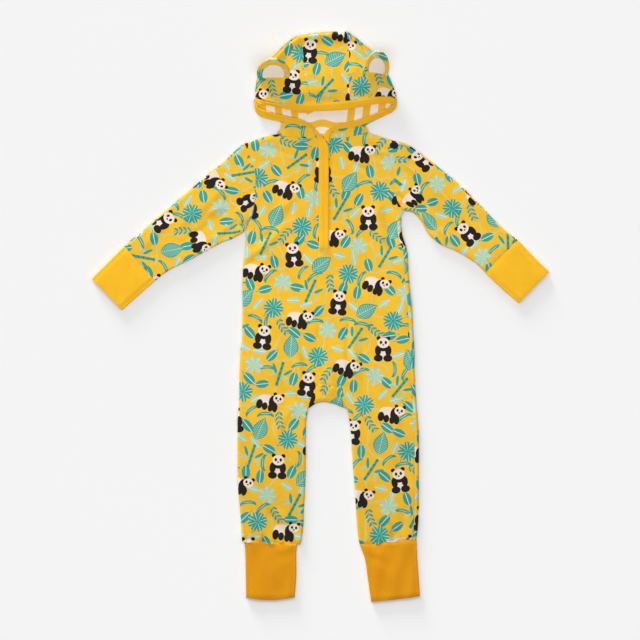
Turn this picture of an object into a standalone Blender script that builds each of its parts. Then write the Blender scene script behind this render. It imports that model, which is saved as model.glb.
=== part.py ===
"""A toddler's hooded one-piece in printed cotton knit, lying flat on its back.

Every piece is a sheet of cloth: a grid of points on the middle of the cloth, given its
wall by moving the points out and in. The garment is two layers, back and front, joined
by narrow rolled folds at its outline. Lengths in the tables are millimetres, x towards
the wearer's left, y towards the hood, z up from the surface that it rests on.
"""
import bpy
import numpy as np

WALL = 1.2            # knit, one layer
BINDING_WALL = 2.2    # binding strip, folded double
CUFF_WALL = 2.0       # rib cuff, folded double
LINING_WALL = 1.0
EAR_WALL = 2.6        # two layers of knit, turned out
FOLD = 1.6            # radius of a rolled fold, to the middle of the cloth
GAP = 0.3             # between two pieces at a seam
BACK_Z = WALL / 2
FOLD_Z = BACK_Z + FOLD
FRONT_Z = BACK_Z + 2 * FOLD
LOFT = 1.3            # how far the front layer stands off the back away from the folds
HOOD_LOFT = 13.0      # the same under the top of the hood
CENTRE_X, CENTRE_Y = 1.0, -1.1    # middle of the outline
GATHERS = 6           # puckers across one ankle

# Stations down the body: (outer x, outer y, inner x, inner y). The outer edge is the
# armhole and then the side, the inner edge the centre, the crotch seam and the inseam.
RIGHT = [
    (-120, 275, -1, 283), (-113, 259, -1, 266), (-107, 243, -1, 246), (-103, 224, -1, 227),
    (-102, 202, -1, 205), (-104, 179, -1, 182), (-108, 160, -1, 163), (-116, 142, -1, 144),
    (-117, 122, -1, 122), (-119, 102, -3, 102), (-122, 80, -4, 80), (-123, 42, -4, 42),
    (-123, 2, -4, 2), (-124, -38, -4, -35), (-127, -70, -4, -67), (-128, -96, -3, -90),
    (-128, -118, -1, -108), (-128, -131, -8, -117), (-129, -144, -13, -131),
    (-130, -155, -18, -147), (-131, -170, -22, -166), (-131, -198, -23, -197),
    (-131, -238, -23, -238), (-130, -278, -24, -280), (-127, -310, -26, -314),
    (-125, -336, -27, -341), (-125, -359, -30, -365),
]
LEFT = [
    (128, 277, -1, 283), (123, 259, -1, 266), (119, 240, -1, 246), (119, 221, -1, 227),
    (120, 202, -1, 208), (124, 184, -1, 189), (134, 167, -1, 170), (130, 150, -1, 150),
    (132, 128, -1, 122), (139, 106, -3, 102), (141, 83, -4, 80), (143, 51, -4, 48),
    (147, 16, -4, 12), (149, -22, -4, -26), (151, -58, -4, -67), (151, -84, -3, -90),
    (152, -100, -1, -108), (152, -112, 14, -111), (153, -124, 28, -113),
    (154, -136, 36, -121), (155, -148, 41, -133), (156, -160, 44, -147),
    (157, -173, 48, -166), (158, -198, 51, -195), (158, -234, 53, -232),
    (158, -269, 56, -269), (158, -301, 58, -302), (157, -330, 60, -333),
    (155, -357, 63, -366),
]
RIGHT_UNDERARM, RIGHT_CROTCH = 7, 19      # stations where the side and inseam folds begin
LEFT_UNDERARM, LEFT_CROTCH = 6, 21

# Neck seam and shoulder, from the centre front outwards: (x, y).
NECK_RIGHT = [(-1, 283), (-20, 284), (-38, 285.5), (-58, 286.5), (-66, 291)]
NECK_LEFT = [(-1, 283), (18, 284), (34, 285), (58, 288), (77, 293)]
SHOULDER_RIGHT = [(-66, 291), (-92, 285), (-120, 275)]
SHOULDER_LEFT = [(77, 293), (101, 284.5), (128, 277)]
BACK_NECK_Y = 297

# Stations down each sleeve: (top x, top y, under x, under y).
SLEEVE_RIGHT = [
    (-121, 275.5, -118, 143), (-134, 265, -122, 135), (-153, 246, -130, 129),
    (-179, 226, -142, 123), (-201, 206, -158, 117), (-224, 187, -177, 107),
    (-243, 170, -197, 96), (-267, 150, -218, 85), (-289, 131, -242, 73), (-312, 111, -264, 57),
]
SLEEVE_LEFT = [
    (129, 277.5, 136, 168), (144, 271, 145, 167), (160, 260, 153, 163), (184, 242, 164, 150),
    (205, 225, 174, 132), (221, 212, 186, 120), (236, 197, 201, 111), (257, 176, 218, 104),
    (278, 154, 237, 93), (297, 136, 252, 83), (316, 121, 265, 70),
]
# Stations down each cuff: the two edges of the flattened tube.
SLEEVE_CUFF_RIGHT = [(-312.4, 110.7, -264.4, 56.7), (-338, 85, -291, 33), (-364, 59, -317, 10)]
SLEEVE_CUFF_LEFT = [(316.3, 120.7, 265.3, 69.7), (341, 95, 291, 45), (366, 70, 319, 21)]
LEG_CUFF_RIGHT = [
    (-120, -359.8, -36, -365.1), (-118, -374, -36, -385), (-118, -412, -37, -415),
    (-118, -452, -40, -452),
]
LEG_CUFF_LEFT = [
    (154, -357.6, 65, -366.3), (156, -384, 71, -387), (158, -416, 77, -420), (159, -448, 84, -457),
]

# Crotch gusset: its two side seams from the front top edge to the fold, and the fold line.
GUSSET_RIGHT = [(-1, -109), (-8, -118), (-13, -132), (-18, -147)]
GUSSET_LEFT = [(28, -114), (36, -121), (41, -133), (44, -148)]
GUSSET_FOLD = [(-18, -147), (-8, -140), (1, -137), (10, -137), (24, -140), (36, -145), (44, -148)]

# Hood, side panels, from the crown down: (outline x, y, centre seam x, y).
HOOD_RIGHT = [
    (-37, 446, -34.6, 447), (-49, 438, -31, 440), (-60, 428, -28, 430), (-71, 417, -26, 417),
    (-84, 405, -26, 403), (-94, 392, -25, 391), (-99, 378, -22, 379), (-101, 364, -17, 365),
    (-102.6, 350, -15, 342),
]
HOOD_LEFT = [
    (45, 452, 42.6, 453), (54, 446, 44, 446), (66, 436, 45, 434), (81, 424, 47, 421),
    (95, 408, 47, 407), (105, 391, 47, 392), (111, 378, 47, 378), (117, 363, 47, 363),
    (120.6, 351, 49, 344),
]
# The same panels below the face opening, on the back layer only: (outline x, y).
HOOD_RIGHT_LOW = [(-102.5, 336), (-99, 327), (-88, 318)]
HOOD_LEFT_LOW = [(121, 338), (116, 328), (98, 319)]
HOOD_NECK_RIGHT = [(-62, 310), (-60, 301), (-66, 291.6)]
HOOD_NECK_LEFT = [(74, 307), (72, 301), (77, 293.6)]
CROWN = [(-34, 448), (-15, 451), (6, 453.5), (26, 454.5), (42, 454)]
CENTRE_BACK_RIGHT, CENTRE_BACK_LEFT = -30, 38      # where the back seams meet the neck

# Binding: one strip from the foot of the placket, round the face opening and back to the
# centre: (seam edge x, y, z, free edge x, y, z). Height 0 stands for lying on the layer below.
BINDING = [
    (-0.5, 109, 0, 14.5, 109, 0), (-0.5, 130, 0, 14.5, 130, 0), (-0.5, 155, 0, 14.5, 155, 0),
    (-0.5, 180, 0, 14.5, 180, 0), (-0.5, 205, 0, 14.5, 205, 0), (-0.5, 230, 0, 14.5, 230, 0),
    (-0.5, 252, 0, 14.5, 252, 0), (-0.5, 270, 0, 14.5, 271, 0), (-2, 282, 7.4, 12, 283, 7.4),
    (-11, 292, 7.4, 2, 291, 8.2), (-24, 301, 7.2, -12, 302, 8.6), (-41, 308, 6.8, -32, 313, 9),
    (-61, 311.5, 6.2, -51, 319, 9), (-84, 315.5, 4.6, -73, 325, 9), (-96, 320, 3.9, -88, 329, 9),
    (-102, 328, 3.6, -97, 333.5, 9.2), (-103.2, 337, 3.8, -99, 337.5, 9.6),
    (-102, 344, 4.8, -96, 338.8, 9.6), (-97, 347.6, 0, -88, 338.4, 0), (-88, 346.6, 0, -79, 338.6, 0),
    (-73, 344, 0, -63, 337, 0), (-54, 341, 0, -47, 333, 0), (-28, 340, 0, -28, 329, 0),
    (-6, 340, 0, -6, 328, 0), (15, 341, 0, 15, 328, 0), (38, 343, 0, 36, 330, 0),
    (60, 346, 0, 54, 332, 0), (81, 349, 0, 72, 336, 0), (100, 350, 0, 92, 339, 0),
    (113, 349.5, 0, 105, 339.5, 0), (120.5, 345, 4.8, 113, 339.5, 9.6),
    (121.8, 337.5, 3.8, 116.5, 337.5, 9.6), (118, 329, 3.6, 112, 333, 9.2),
    (109, 323.5, 4.0, 102, 329, 9), (92, 316.5, 4.8, 83, 322, 9), (74, 308.5, 6.2, 67, 316, 8.8),
    (58, 303.5, 6.4, 54, 313, 8.4), (38, 299.5, 6.2, 36, 308, 7.6), (25, 297, 5.6, 22, 302.5, 6.6),
    (17, 294, 5.0, 12, 297, 5.2), (13.5, 289, 4.5, 7, 290, 4.5),
]
# Lining where it shows in the face opening: (lower x, lower y, upper x, upper y, extra z).
LINING = [
    (-97.5, 334, -97.5, 341, 3.2), (-91, 324, -91, 348, 1.6), (-78, 320, -78, 351, 0.6),
    (-60, 315, -60, 352, 0.2), (-40, 309, -40, 352, 0), (-23, 302, -23, 352, 0.1),
    (-8, 293, -9, 352, 0.5), (5, 287, 4, 352, 0), (20, 295, 19, 352, 0.3),
    (38, 300, 36, 352, 0), (56, 304, 55, 352, 0), (74, 310, 75, 352, 0.3),
    (92, 319, 93, 352, 0.8), (107, 328, 107, 349, 1.8), (114.5, 334, 114.5, 342, 3.2),
]
# Soft folds of the front layer: (x, y, x, y, half width, height).
FOLDS = [
    (-104, 148, -40, 184, 5.0, -0.9), (-100, 160, -48, 195, 6.0, 1.3),
    (-110, 108, -84, 88, 5.0, -0.8), (-104, 120, -70, 98, 6.0, 1.1),
    (93, 218, 120, 136, 5.0, -0.9), (82, 214, 108, 130, 6.0, 1.2),
    (152, 218, 182, 154, 6.0, -0.8), (166, 222, 198, 160, 6.0, 1.1),
    (68, 272, 104, 270, 3.5, -0.7), (66, 264, 106, 262, 4.5, 0.9),
    (36, 261, 77, 234, 4.5, -0.6), (-150, 214, -230, 142, 9.0, 0.9),
    (-22, -38, -20, -112, 4.5, -0.8), (-33, -30, -31, -108, 5.0, 0.9),
    (48, -6, 48, -98, 4.5, -0.7), (58, 0, 58, -96, 5.0, 0.8),
    (-80, -318, -58, -352, 4.5, -0.7), (-70, -314, -48, -346, 5.0, 0.8),
    (93, -336, 114, -358, 4.5, -0.8), (128, -334, 114, -356, 4.5, -0.6),
]
# Ear outline, a row up the ear: (height, half width), as parts of the full sizes.
EAR_ROWS = [(0, 0.94), (0.22, 1.0), (0.45, 0.97), (0.66, 0.87), (0.83, 0.68), (0.94, 0.46), (1, 0.26)]
# Ears: (base middle x, y, turn of the base, half width, height, lean back, lean aside).
EAR_RIGHT = (-74, 381.5, 0.0, 26.5, 37, 42, 0)
EAR_LEFT = (90.5, 388, -7.0, 19.5, 37, 24, 0)


def polyline(points, fractions):
    """Points at the given fractions of a polyline's length."""
    points = np.asarray(points, float)
    steps = np.linalg.norm(np.diff(points, axis=0), axis=1)
    along = np.concatenate([[0], np.cumsum(steps)]) / steps.sum()
    return np.stack([np.interp(fractions, along, points[:, k]) for k in range(2)], axis=1)


def distance(x, y, line):
    """Distance in plan from each point to a polyline."""
    best = np.full(np.shape(x), 1e9)
    for (x0, y0), (x1, y1) in zip(line[:-1], line[1:]):
        run, rise = x1 - x0, y1 - y0
        length = max(run * run + rise * rise, 1e-9)
        share = np.clip(((x - x0) * run + (y - y0) * rise) / length, 0, 1)
        best = np.minimum(best, np.hypot(x - x0 - share * run, y - y0 - share * rise))
    return best


def ease(value):
    """0 below 0, 1 above 1, smooth between."""
    value = np.clip(value, 0, 1)
    return value * value * (3 - 2 * value)


def outer(table, first=0):
    return [(row[0], row[1]) for row in table[first:]]


def inner(table, first=0):
    return [(row[2], row[3]) for row in table[first:]]


FOLD_LINES = [
    SHOULDER_RIGHT + outer(SLEEVE_RIGHT),
    SHOULDER_LEFT + outer(SLEEVE_LEFT),
    inner(SLEEVE_RIGHT)[::-1] + outer(RIGHT, RIGHT_UNDERARM),
    inner(SLEEVE_LEFT)[::-1] + outer(LEFT, LEFT_UNDERARM),
    inner(RIGHT, RIGHT_CROTCH)[::-1] + GUSSET_FOLD + inner(LEFT, LEFT_CROTCH),
    HOOD_NECK_RIGHT,
    HOOD_NECK_LEFT,
]
HOOD_OUTLINE = outer(HOOD_RIGHT)[::-1] + CROWN + outer(HOOD_LEFT)


def front_z(x, y):
    """Height of the front layer of the body, legs and sleeves."""
    clear = np.min([distance(x, y, line) for line in FOLD_LINES], axis=0)
    lift = LOFT * np.ones(np.shape(x))
    for x0, y0, x1, y1, half, height in FOLDS:
        off = distance(x, y, [(x0, y0), (x1, y1)])
        lift = lift + height * np.exp(-((off / half) ** 2))
    ankle = np.exp(-np.maximum(0, y + 362) / 10)
    middle = np.where(x < 0, -78, 109)
    wave = np.cos(2 * np.pi * GATHERS * (x - middle) / 95)
    return FRONT_Z + (lift + 0.7 * ankle * wave) * ease(clear / 14)


def hood_z(x, y):
    """Height of the front layer of the hood above the face opening."""
    clear = distance(x, y, HOOD_OUTLINE)
    dip = 1.6 * np.exp(-(((x + 60) / 16) ** 2) - (((y - 346) / 9) ** 2))
    return FRONT_Z + HOOD_LOFT * (1 - np.exp(-clear / 22)) - dip * ease(clear / 14)


def normals_2d(points, side):
    """Unit normals in plan along a row of stations, turned to the side given."""
    run = np.gradient(np.asarray(points, float), axis=0)
    turned = np.stack([run[:, 1], -run[:, 0]], axis=1) * side
    return turned / np.linalg.norm(turned, axis=1, keepdims=True)


def rolled(e, angle, inset, front):
    """Edge of a layer that rolls round a fold.

    For a point the distance e along the cloth from the piece's edge, gives how far it is
    past the outline and its height (NaN on the flat). The edge lies at `angle` round the
    fold from this layer's flat, or `inset` beyond a full half turn.
    """
    e = np.asarray(e, float)
    turn = angle - (e - inset) / FOLD
    past = np.where(turn > 0, -FOLD + FOLD * np.sin(turn), -FOLD + FOLD * turn)
    past = np.where(e < inset, -FOLD - inset + e, past)
    up = FOLD_Z + (1 if front else -1) * FOLD * np.cos(turn)
    height = np.where(turn > 0, up, np.nan)
    height = np.where(e < inset, -1.0, height)
    return past, height


class Edge:
    """One long edge of a panel: columns at distances e from it, rolled where it is a fold."""

    def __init__(self, points, side, spaces, folded, angle=np.pi / 2, inset=0.0, cut=0.0):
        self.points = np.asarray(points, float)
        self.out = normals_2d(points, side)
        self.spaces, self.folded = spaces, folded
        self.angle, self.inset, self.cut = angle, inset, cut

    def columns(self, station, front):
        """Points in plan and heights of the edge columns at a station, edge first."""
        e = np.asarray(self.spaces, float)
        folded = self.folded[station]
        flat = -GAP / 2 - e
        past, height = rolled(e, self.angle, self.inset, front)
        if self.cut:
            past, height = -FOLD - self.cut - GAP - e, np.full(len(e), np.nan)
        past = np.where(folded > 0, past, flat)
        height = np.where(folded > 0, height, np.nan)
        spot = self.points[station] + past[:, None] * self.out[station]
        return spot, height


def panel(inside, outside, across, top, shoulder, front, top_rows=(0, 1.0, 2.1)):
    """Grid of a body panel: rows down the stations, columns from inside to outside.

    top is the polyline that the first row follows and shoulder says, for a fraction of
    the way along it, where it is a fold.
    """
    rows = []
    for station in range(len(inside.points)):
        near, near_z = inside.columns(station, front)
        far, far_z = outside.columns(station, front)
        share = np.linspace(0, 1, across + 2)[1:-1, None]
        middle = near[-1] * (1 - share) + far[-1] * share
        flat = np.concatenate([near, middle, far[::-1]])
        height = np.concatenate([near_z, np.full(across, np.nan), far_z[::-1]])
        rows.append(np.column_stack([flat, height]))
    rows = np.array(rows)
    fractions = np.linalg.norm(rows[0, :, :2] - rows[0, 0, :2], axis=1)
    fractions = fractions / fractions[-1]
    target = polyline(top, fractions)
    target[0] = rows[0, 0, :2] * (1, 0) + target[0] * (0, 1)
    shift = target - rows[0, :, :2]
    for station, weight in enumerate((1.0, 0.72, 0.38, 0.12)):
        rows[station, :, :2] += weight * shift
    up = normals_2d(rows[0, :, :2], 1)
    up = up * np.sign(up[:, 1:2] + 1e-9)
    up[0] = (0, 1)
    up[-1] = rows[0, -1, :2] - rows[1, -1, :2]
    up[-1] /= np.linalg.norm(up[-1])
    folded = shoulder(fractions)[:, None]
    first = []
    for e in top_rows:
        past, height = rolled([e], np.pi / 2 - 1.5 * GAP / FOLD, 0.0, front)
        past = folded * past + (1 - folded) * (-GAP / 2 - e)
        line = np.column_stack([rows[0, :, :2] + past * up, np.full(len(up), np.nan)])
        line[folded[:, 0] > 0.5, 2] = height[0]
        first.append(line)
    return np.concatenate([np.array(first), rows[1:]])


def on_layer(grid, front):
    """Fills in the heights that a grid leaves open, from the layer that it lies in."""
    grid = grid.copy()
    level = front_z(grid[..., 0], grid[..., 1])
    flat = level if front else np.full(level.shape, BACK_Z)
    grid[..., 2] = np.where(np.isnan(grid[..., 2]), flat, grid[..., 2])
    grid[..., 2] = np.where(grid[..., 2] < 0, level, grid[..., 2])
    return grid


def tube(table, front_columns, armhole=None, wall=WALL, lift=None):
    """Grid of a flattened tube, a closed ring of points at each station."""
    table = np.asarray(table, float)
    top, under = table[:, :2], table[:, 2:]
    low = wall / 2
    toward = top - under
    top_out, under_out = normals_2d(top, 1), normals_2d(under, 1)
    top_out = top_out * np.sign((top_out * toward).sum(1))[:, None]
    under_out = under_out * -np.sign((under_out * toward).sum(1))[:, None]
    turns = np.radians([36, 90, 144])
    share = np.linspace(0, 1, front_columns)[:, None]
    rings = []
    for k in range(len(table)):
        start, end = top[k] - FOLD * top_out[k], under[k] - FOLD * under_out[k]
        flat = start * (1 - share) + end * share
        if armhole is not None:
            follow = polyline(armhole, share[:, 0]) - (top[0] * (1 - share) + under[0] * share)
            weight = max(0.0, 1 - k / 5) ** 1.5
            flat = flat + weight * follow
        front = np.column_stack([flat, np.full(len(flat), np.nan)])
        back = np.column_stack([flat[::-1], np.full(len(flat), low)])
        down = [
            (*(under[k] - FOLD * under_out[k] * (1 - np.sin(a))), low + FOLD + FOLD * np.cos(a))
            for a in turns
        ]
        rise = [
            (*(top[k] - FOLD * top_out[k] * (1 - np.sin(a))), low + FOLD - FOLD * np.cos(a))
            for a in turns
        ]
        rings.append(np.concatenate([front, down, back, rise]))
    rings = np.array(rings)
    level = front_z(rings[..., 0], rings[..., 1]) if lift is None else low + 2 * FOLD + lift(rings)
    rings[..., 2] = np.where(np.isnan(rings[..., 2]), level, rings[..., 2])
    return rings


def hood_side(table, low, neck, lip, neck_front, back_x, side, columns=7):
    """Grid and mask of a hood side panel.

    Columns run from the centre seam on the front, out to the fold, round it and back in
    to the centre seam on the back. Below the face opening only the back is left, until
    the rows of the throat, which lie on the front again.
    """
    outline = outer(table) + low + neck
    seam = np.array(inner(table), float)
    out = normals_2d(outline, side)
    edge = np.array(outline, float)
    front_rows = len(table)
    throat = len(outline) - len(neck)
    share = np.linspace(0, 1, columns)[:, None]
    back_share = np.linspace(0, 1, 5)[:, None]
    turns = np.radians([36, 90, 144])
    rows = []
    for k in range(len(outline)):
        start = edge[k] - FOLD * out[k]
        if k < front_rows:
            inward = seam[k] + (0.25 * side, 0)
            flat = inward * (1 - share) + start * share
            if k == front_rows - 1:
                curve = np.interp(flat[:, 0] * side, *lip_line(lip, side))
                flat[:, 1] = curve * (1 - share[:, 0] ** 6) + start[1] * share[:, 0] ** 6
            level = hood_z(flat[:, 0], flat[:, 1])
        else:
            ratio = np.clip((k - throat) / (len(neck) - 1), 0, 1)
            upper = polyline(neck_front[0], 1 - share[:, 0])
            lower = polyline(neck_front[1], 1 - share[:, 0])
            flat = upper * (1 - ratio) + lower * ratio
            flat[-1] = start
            level = front_z(flat[:, 0], flat[:, 1])
        level = np.where(share[:, 0] == 1, FRONT_Z, level)
        front = np.column_stack([flat, level])
        round_it = [
            (*(edge[k] - FOLD * out[k] * (1 - np.sin(a))), FOLD_Z + FOLD * np.cos(a)) for a in turns
        ]
        bottom = k / (len(outline) - 1)
        crown_y, crown_x = seam[0][1], seam[0][0]
        last = (
            crown_x + (back_x - crown_x) * bottom + 0.25 * side,
            crown_y + (BACK_NECK_Y + GAP - crown_y) * bottom,
        )
        back = start * (1 - back_share) + np.array(last) * back_share
        back = np.column_stack([back, np.full(len(back), BACK_Z)])
        rows.append(np.concatenate([front, round_it, back]))
    keep = np.ones((len(outline) - 1, columns + len(turns) + 5 - 1), bool)
    keep[front_rows - 1 : throat, : columns + 1] = False
    return np.array(rows), keep


def lip_line(lip, side):
    """The seam edge of the binding above the face opening, as tables for np.interp."""
    line = np.array(sorted((x * side, y + 0.45) for x, y in lip))
    return line[:, 0], line[:, 1]


def hood_centre_grid():
    """Grid of the middle panel of the hood: up the front, over the crown and down the back."""
    share = np.linspace(0, 1, 7)
    right, left = np.array(inner(HOOD_RIGHT), float), np.array(inner(HOOD_LEFT), float)
    right, left = right[::-1], left[::-1]
    ups = np.linspace(0, 1, len(right))
    inside = np.sin(np.pi * share)
    crown = polyline(CROWN, share)
    lip = lip_line([(row[0], row[1]) for row in BINDING[18:30]], 1)
    rows = []
    for k, up in enumerate(ups):
        line = right[k] * (1 - share[:, None]) + left[k] * share[:, None]
        line[0, 0] += 0.25
        line[-1, 0] -= 0.25
        reach = 1.0 if k in (0, len(ups) - 1) else inside
        low = np.interp(line[:, 0], *lip)
        line[:, 1] += (1 - up) ** 2 * reach * (low - line[:, 1])
        line[:, 1] += up**3 * reach * (crown[:, 1] - FOLD - line[:, 1])
        level = hood_z(line[:, 0], line[:, 1]) if up < 1 else np.full(len(share), FRONT_Z)
        rows.append(np.column_stack([line, level]))
    top = rows[-1]
    for angle in np.radians([36, 90, 144]):
        over = np.column_stack([top[:, 0], top[:, 1] + FOLD * np.sin(angle), top[:, 2]])
        over[:, 2] = FOLD_Z + FOLD * np.cos(angle)
        rows.append(over)
    for down in np.linspace(0, 1, 6):
        x = top[:, 0] * (1 - down) + np.linspace(CENTRE_BACK_RIGHT, CENTRE_BACK_LEFT, 7) * down
        x = x + np.array([0.25, 0, 0, 0, 0, 0, -0.25]) * down
        y = top[:, 1] * (1 - down) + (BACK_NECK_Y + GAP) * down
        rows.append(np.column_stack([x, y, np.full(7, BACK_Z)]))
    return np.array(rows)


def gusset_grid():
    """Grid of the crotch gusset: down the front to the crotch fold, round it and up the back."""
    share = np.linspace(0, 1, 8)
    fold = polyline(GUSSET_FOLD, share)
    fold[0] += (1.4, 0)
    fold[-1] -= (1.4, 0)
    out = normals_2d(fold, 1)
    out = out * -np.sign(out[:, 1:2])
    start = fold - FOLD * out
    rows = []
    downs = np.linspace(0, 1, 4)
    right, left = polyline(GUSSET_RIGHT, downs), polyline(GUSSET_LEFT, downs)
    for k, down in enumerate(downs):
        line = right[k] * (1 - share[:, None]) + left[k] * share[:, None]
        line += (1 - 2 * share[:, None]) * np.array([[0.5, 0]])
        bend = start - (right[-1] * (1 - share[:, None]) + left[-1] * share[:, None])
        line += down**1.5 * bend
        rows.append(line)
    front = [np.column_stack([line, front_z(line[:, 0], line[:, 1])]) for line in rows]
    front[-1][:, 2] = FRONT_Z
    back = [np.column_stack([line, np.full(8, BACK_Z)]) for line in rows[::-1]]
    turned = [
        np.column_stack([start + FOLD * np.sin(a) * out, np.full(8, FOLD_Z + FOLD * np.cos(a))])
        for a in np.radians([36, 90, 144])
    ]
    return np.array(front + turned + back)


def binding_grid():
    """Grid of the binding strip, three columns across it."""
    rows = []
    for seam_x, seam_y, seam_z, free_x, free_y, free_z in BINDING:
        across = np.linspace(0, 1, 3)
        x, y = seam_x + (free_x - seam_x) * across, seam_y + (free_y - seam_y) * across
        if seam_z:
            z = seam_z + (free_z - seam_z) * across
        elif seam_y < 290:
            z = front_z(x, y) + WALL / 2 + GAP + BINDING_WALL / 2
        else:
            z = hood_z(x, y) + 0.3
        rows.append(np.column_stack([x, y, z]))
    return np.array(rows)


def lining_grid():
    """Grid of the lining on the back layer inside the face opening."""
    rows = []
    rise = BACK_Z + WALL / 2 + GAP + LINING_WALL / 2
    for low_x, low_y, high_x, high_y, extra in LINING:
        share = np.linspace(0, 1, 5)
        x, y = low_x + (high_x - low_x) * share, low_y + (high_y - low_y) * share
        rows.append(np.column_stack([x, y, np.full(5, rise + extra)]))
    return np.array(rows)


def ear_grid(ear, scale=1.0, ahead=0.0, start=0.0):
    """Grid of an ear, or of its inner patch: rows up it and columns across."""
    base_x, base_y, turn, half, tall, lean, aside = ear
    turn, lean = np.radians(turn), np.radians(lean)
    along = np.array([np.cos(turn), np.sin(turn)])
    up = np.array([-np.sin(turn), np.cos(turn)])
    rows = []
    for height, width in EAR_ROWS:
        v = tall * (start + (scale * height) * (1 - start * 0.0))
        u = np.linspace(-1, 1, 7) * half * width * scale
        cup = -2.4 * (u / half) ** 2
        foot = np.array([base_x, base_y]) + u[:, None] * along
        ground = hood_z(foot[:, 0], foot[:, 1]) + 0.7 + GAP + EAR_WALL / 2 * np.cos(lean)
        bow = 3.0 * np.sin(np.pi * min(1.0, v / tall) / 2)
        flat = foot + (v * np.cos(lean) + (cup - ahead) * np.sin(lean))[:, None] * up
        z = ground + v * np.sin(lean) - (cup - ahead) * np.cos(lean) + bow
        rows.append(np.column_stack([flat, z]))
    return np.array(rows)


def shell(name, grid, wall, material, keep=None, ring=False):
    """Makes a closed solid of cloth from a grid of points on its middle."""
    rows, columns = grid.shape[:2]
    index = np.arange(rows * columns).reshape(rows, columns)
    if ring:
        index = np.concatenate([index, index[:, :1]], axis=1)
    quads = np.stack([index[:-1, :-1], index[1:, :-1], index[1:, 1:], index[:-1, 1:]], axis=-1)
    quads = quads[keep] if keep is not None else quads.reshape(-1, 4)
    points = grid.reshape(-1, 3)
    cross = np.cross(points[quads[:, 2]] - points[quads[:, 0]], points[quads[:, 3]] - points[quads[:, 1]])
    normal = np.zeros_like(points)
    for corner in range(4):
        np.add.at(normal, quads[:, corner], cross)
    normal /= np.maximum(np.linalg.norm(normal, axis=1, keepdims=True), 1e-9)
    both = np.concatenate([points + normal * wall / 2, points - normal * wall / 2])
    count = len(points)
    ends = np.concatenate([quads[:, [k, (k + 1) % 4]] for k in range(4)])
    pairs = set(map(tuple, ends.tolist()))
    rim = [(a, b) for a, b in pairs if (b, a) not in pairs]
    rim.sort()
    faces = quads.tolist() + (quads[:, ::-1] + count).tolist()
    faces += [[b, a, a + count, b + count] for a, b in rim]
    used, flat = np.unique(np.array(faces).reshape(-1), return_inverse=True)
    flat = flat.reshape(-1, 4)
    both = (both[used] - (CENTRE_X, CENTRE_Y, 0)) / 1000
    triangles = np.concatenate([flat[:, [0, 1, 2]], flat[:, [0, 2, 3]]])
    if np.linalg.det(both[triangles]).sum() < 0:
        flat = flat[:, ::-1]
    mesh = bpy.data.meshes.new(name)
    mesh.from_pydata(both.tolist(), [], flat.tolist())
    mesh.polygons.foreach_set("use_smooth", np.ones(len(flat), bool))
    mesh.set_sharp_from_angle(angle=np.radians(50))
    mesh.materials.append(material)
    mesh.validate()
    piece = bpy.data.objects.new(name, mesh)
    bpy.context.scene.collection.objects.link(piece)
    return piece


def material(name, colour):
    made = bpy.data.materials.new(name)
    made.use_nodes = True
    shader = made.node_tree.nodes["Principled BSDF"]
    shader.inputs["Base Color"].default_value = (*colour, 1)
    shader.inputs["Roughness"].default_value = 0.85
    return made


for old in list(bpy.data.objects):
    bpy.data.objects.remove(old, do_unlink=True)

PRINT = material("print_knit", (0.93, 0.52, 0.035))
RIB = material("yellow_rib", (0.90, 0.46, 0.03))
LEG_RIB = material("amber_rib", (0.76, 0.33, 0.02))
STRIPE = material("stripe_knit", (0.88, 0.72, 0.5))
CREAM = material("cream_knit", (0.90, 0.80, 0.70))

SIDE_TURN = np.pi / 2 - 1.5 * GAP / FOLD
ARC = (0, 1.0, 2.1)


def folds_from(count, first):
    return [1 if station >= first else 0 for station in range(count)]


def body(name, table, underarm, crotch, neck, shoulder_line, side, inset):
    """The front and back panel of one side of the body."""
    count = len(table)
    centre, edge = inner(table), outer(table)
    top = neck + shoulder_line[1:]
    lengths = np.linalg.norm(np.diff(np.array(top, float), axis=0), axis=1)
    corner = lengths[: len(neck) - 1].sum() / lengths.sum()
    is_shoulder = lambda fraction: (fraction > corner + 0.02).astype(float)
    inside = Edge(centre, -side, ARC, folds_from(count, crotch + 1), SIDE_TURN)
    if inset:
        outside = Edge(edge, side, ARC, folds_from(count, underarm + 1), cut=inset)
    else:
        outside = Edge(edge, side, ARC, folds_from(count, underarm + 1), SIDE_TURN)
    front = on_layer(panel(inside, outside, 6, top, is_shoulder, True), True)
    shell("front_" + name, front, WALL, PRINT)
    back_centre = [(centre[0][0], BACK_NECK_Y)] + centre[1:]
    back_top = [back_centre[0]] + shoulder_line
    lengths = np.linalg.norm(np.diff(np.array(back_top, float), axis=0), axis=1)
    back_corner = lengths[0] / lengths.sum()
    back_shoulder = lambda fraction: (fraction > back_corner + 0.02).astype(float)
    inside = Edge(back_centre, -side, ARC, folds_from(count, crotch + 1), SIDE_TURN)
    if inset:
        spaces = (0, inset, inset + 1.25, inset + 2.5, inset + 3.8, inset + 5.03)
        outside = Edge(edge, side, spaces, folds_from(count, underarm + 1), np.pi, inset)
    else:
        outside = Edge(edge, side, ARC, folds_from(count, underarm + 1), SIDE_TURN)
    back = on_layer(panel(inside, outside, 4, back_top, back_shoulder, False), False)
    shell("back_" + name, back, WALL, PRINT)


body("right", RIGHT, RIGHT_UNDERARM, RIGHT_CROTCH, NECK_RIGHT, SHOULDER_RIGHT, 1, 0.0)
body("left", LEFT, LEFT_UNDERARM, LEFT_CROTCH, NECK_LEFT, SHOULDER_LEFT, -1, 4.5)
shell("gusset", gusset_grid(), WALL, PRINT)

armhole_right = [(x - 0.5, y) for x, y in outer(RIGHT)[: RIGHT_UNDERARM + 1]]
armhole_left = [(x + 0.5, y) for x, y in outer(LEFT)[: LEFT_UNDERARM + 1]]
shell("sleeve_right", tube(SLEEVE_RIGHT, 9, armhole_right), WALL, PRINT, ring=True)
shell("sleeve_left", tube(SLEEVE_LEFT, 9, armhole_left), WALL, PRINT, ring=True)


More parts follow.
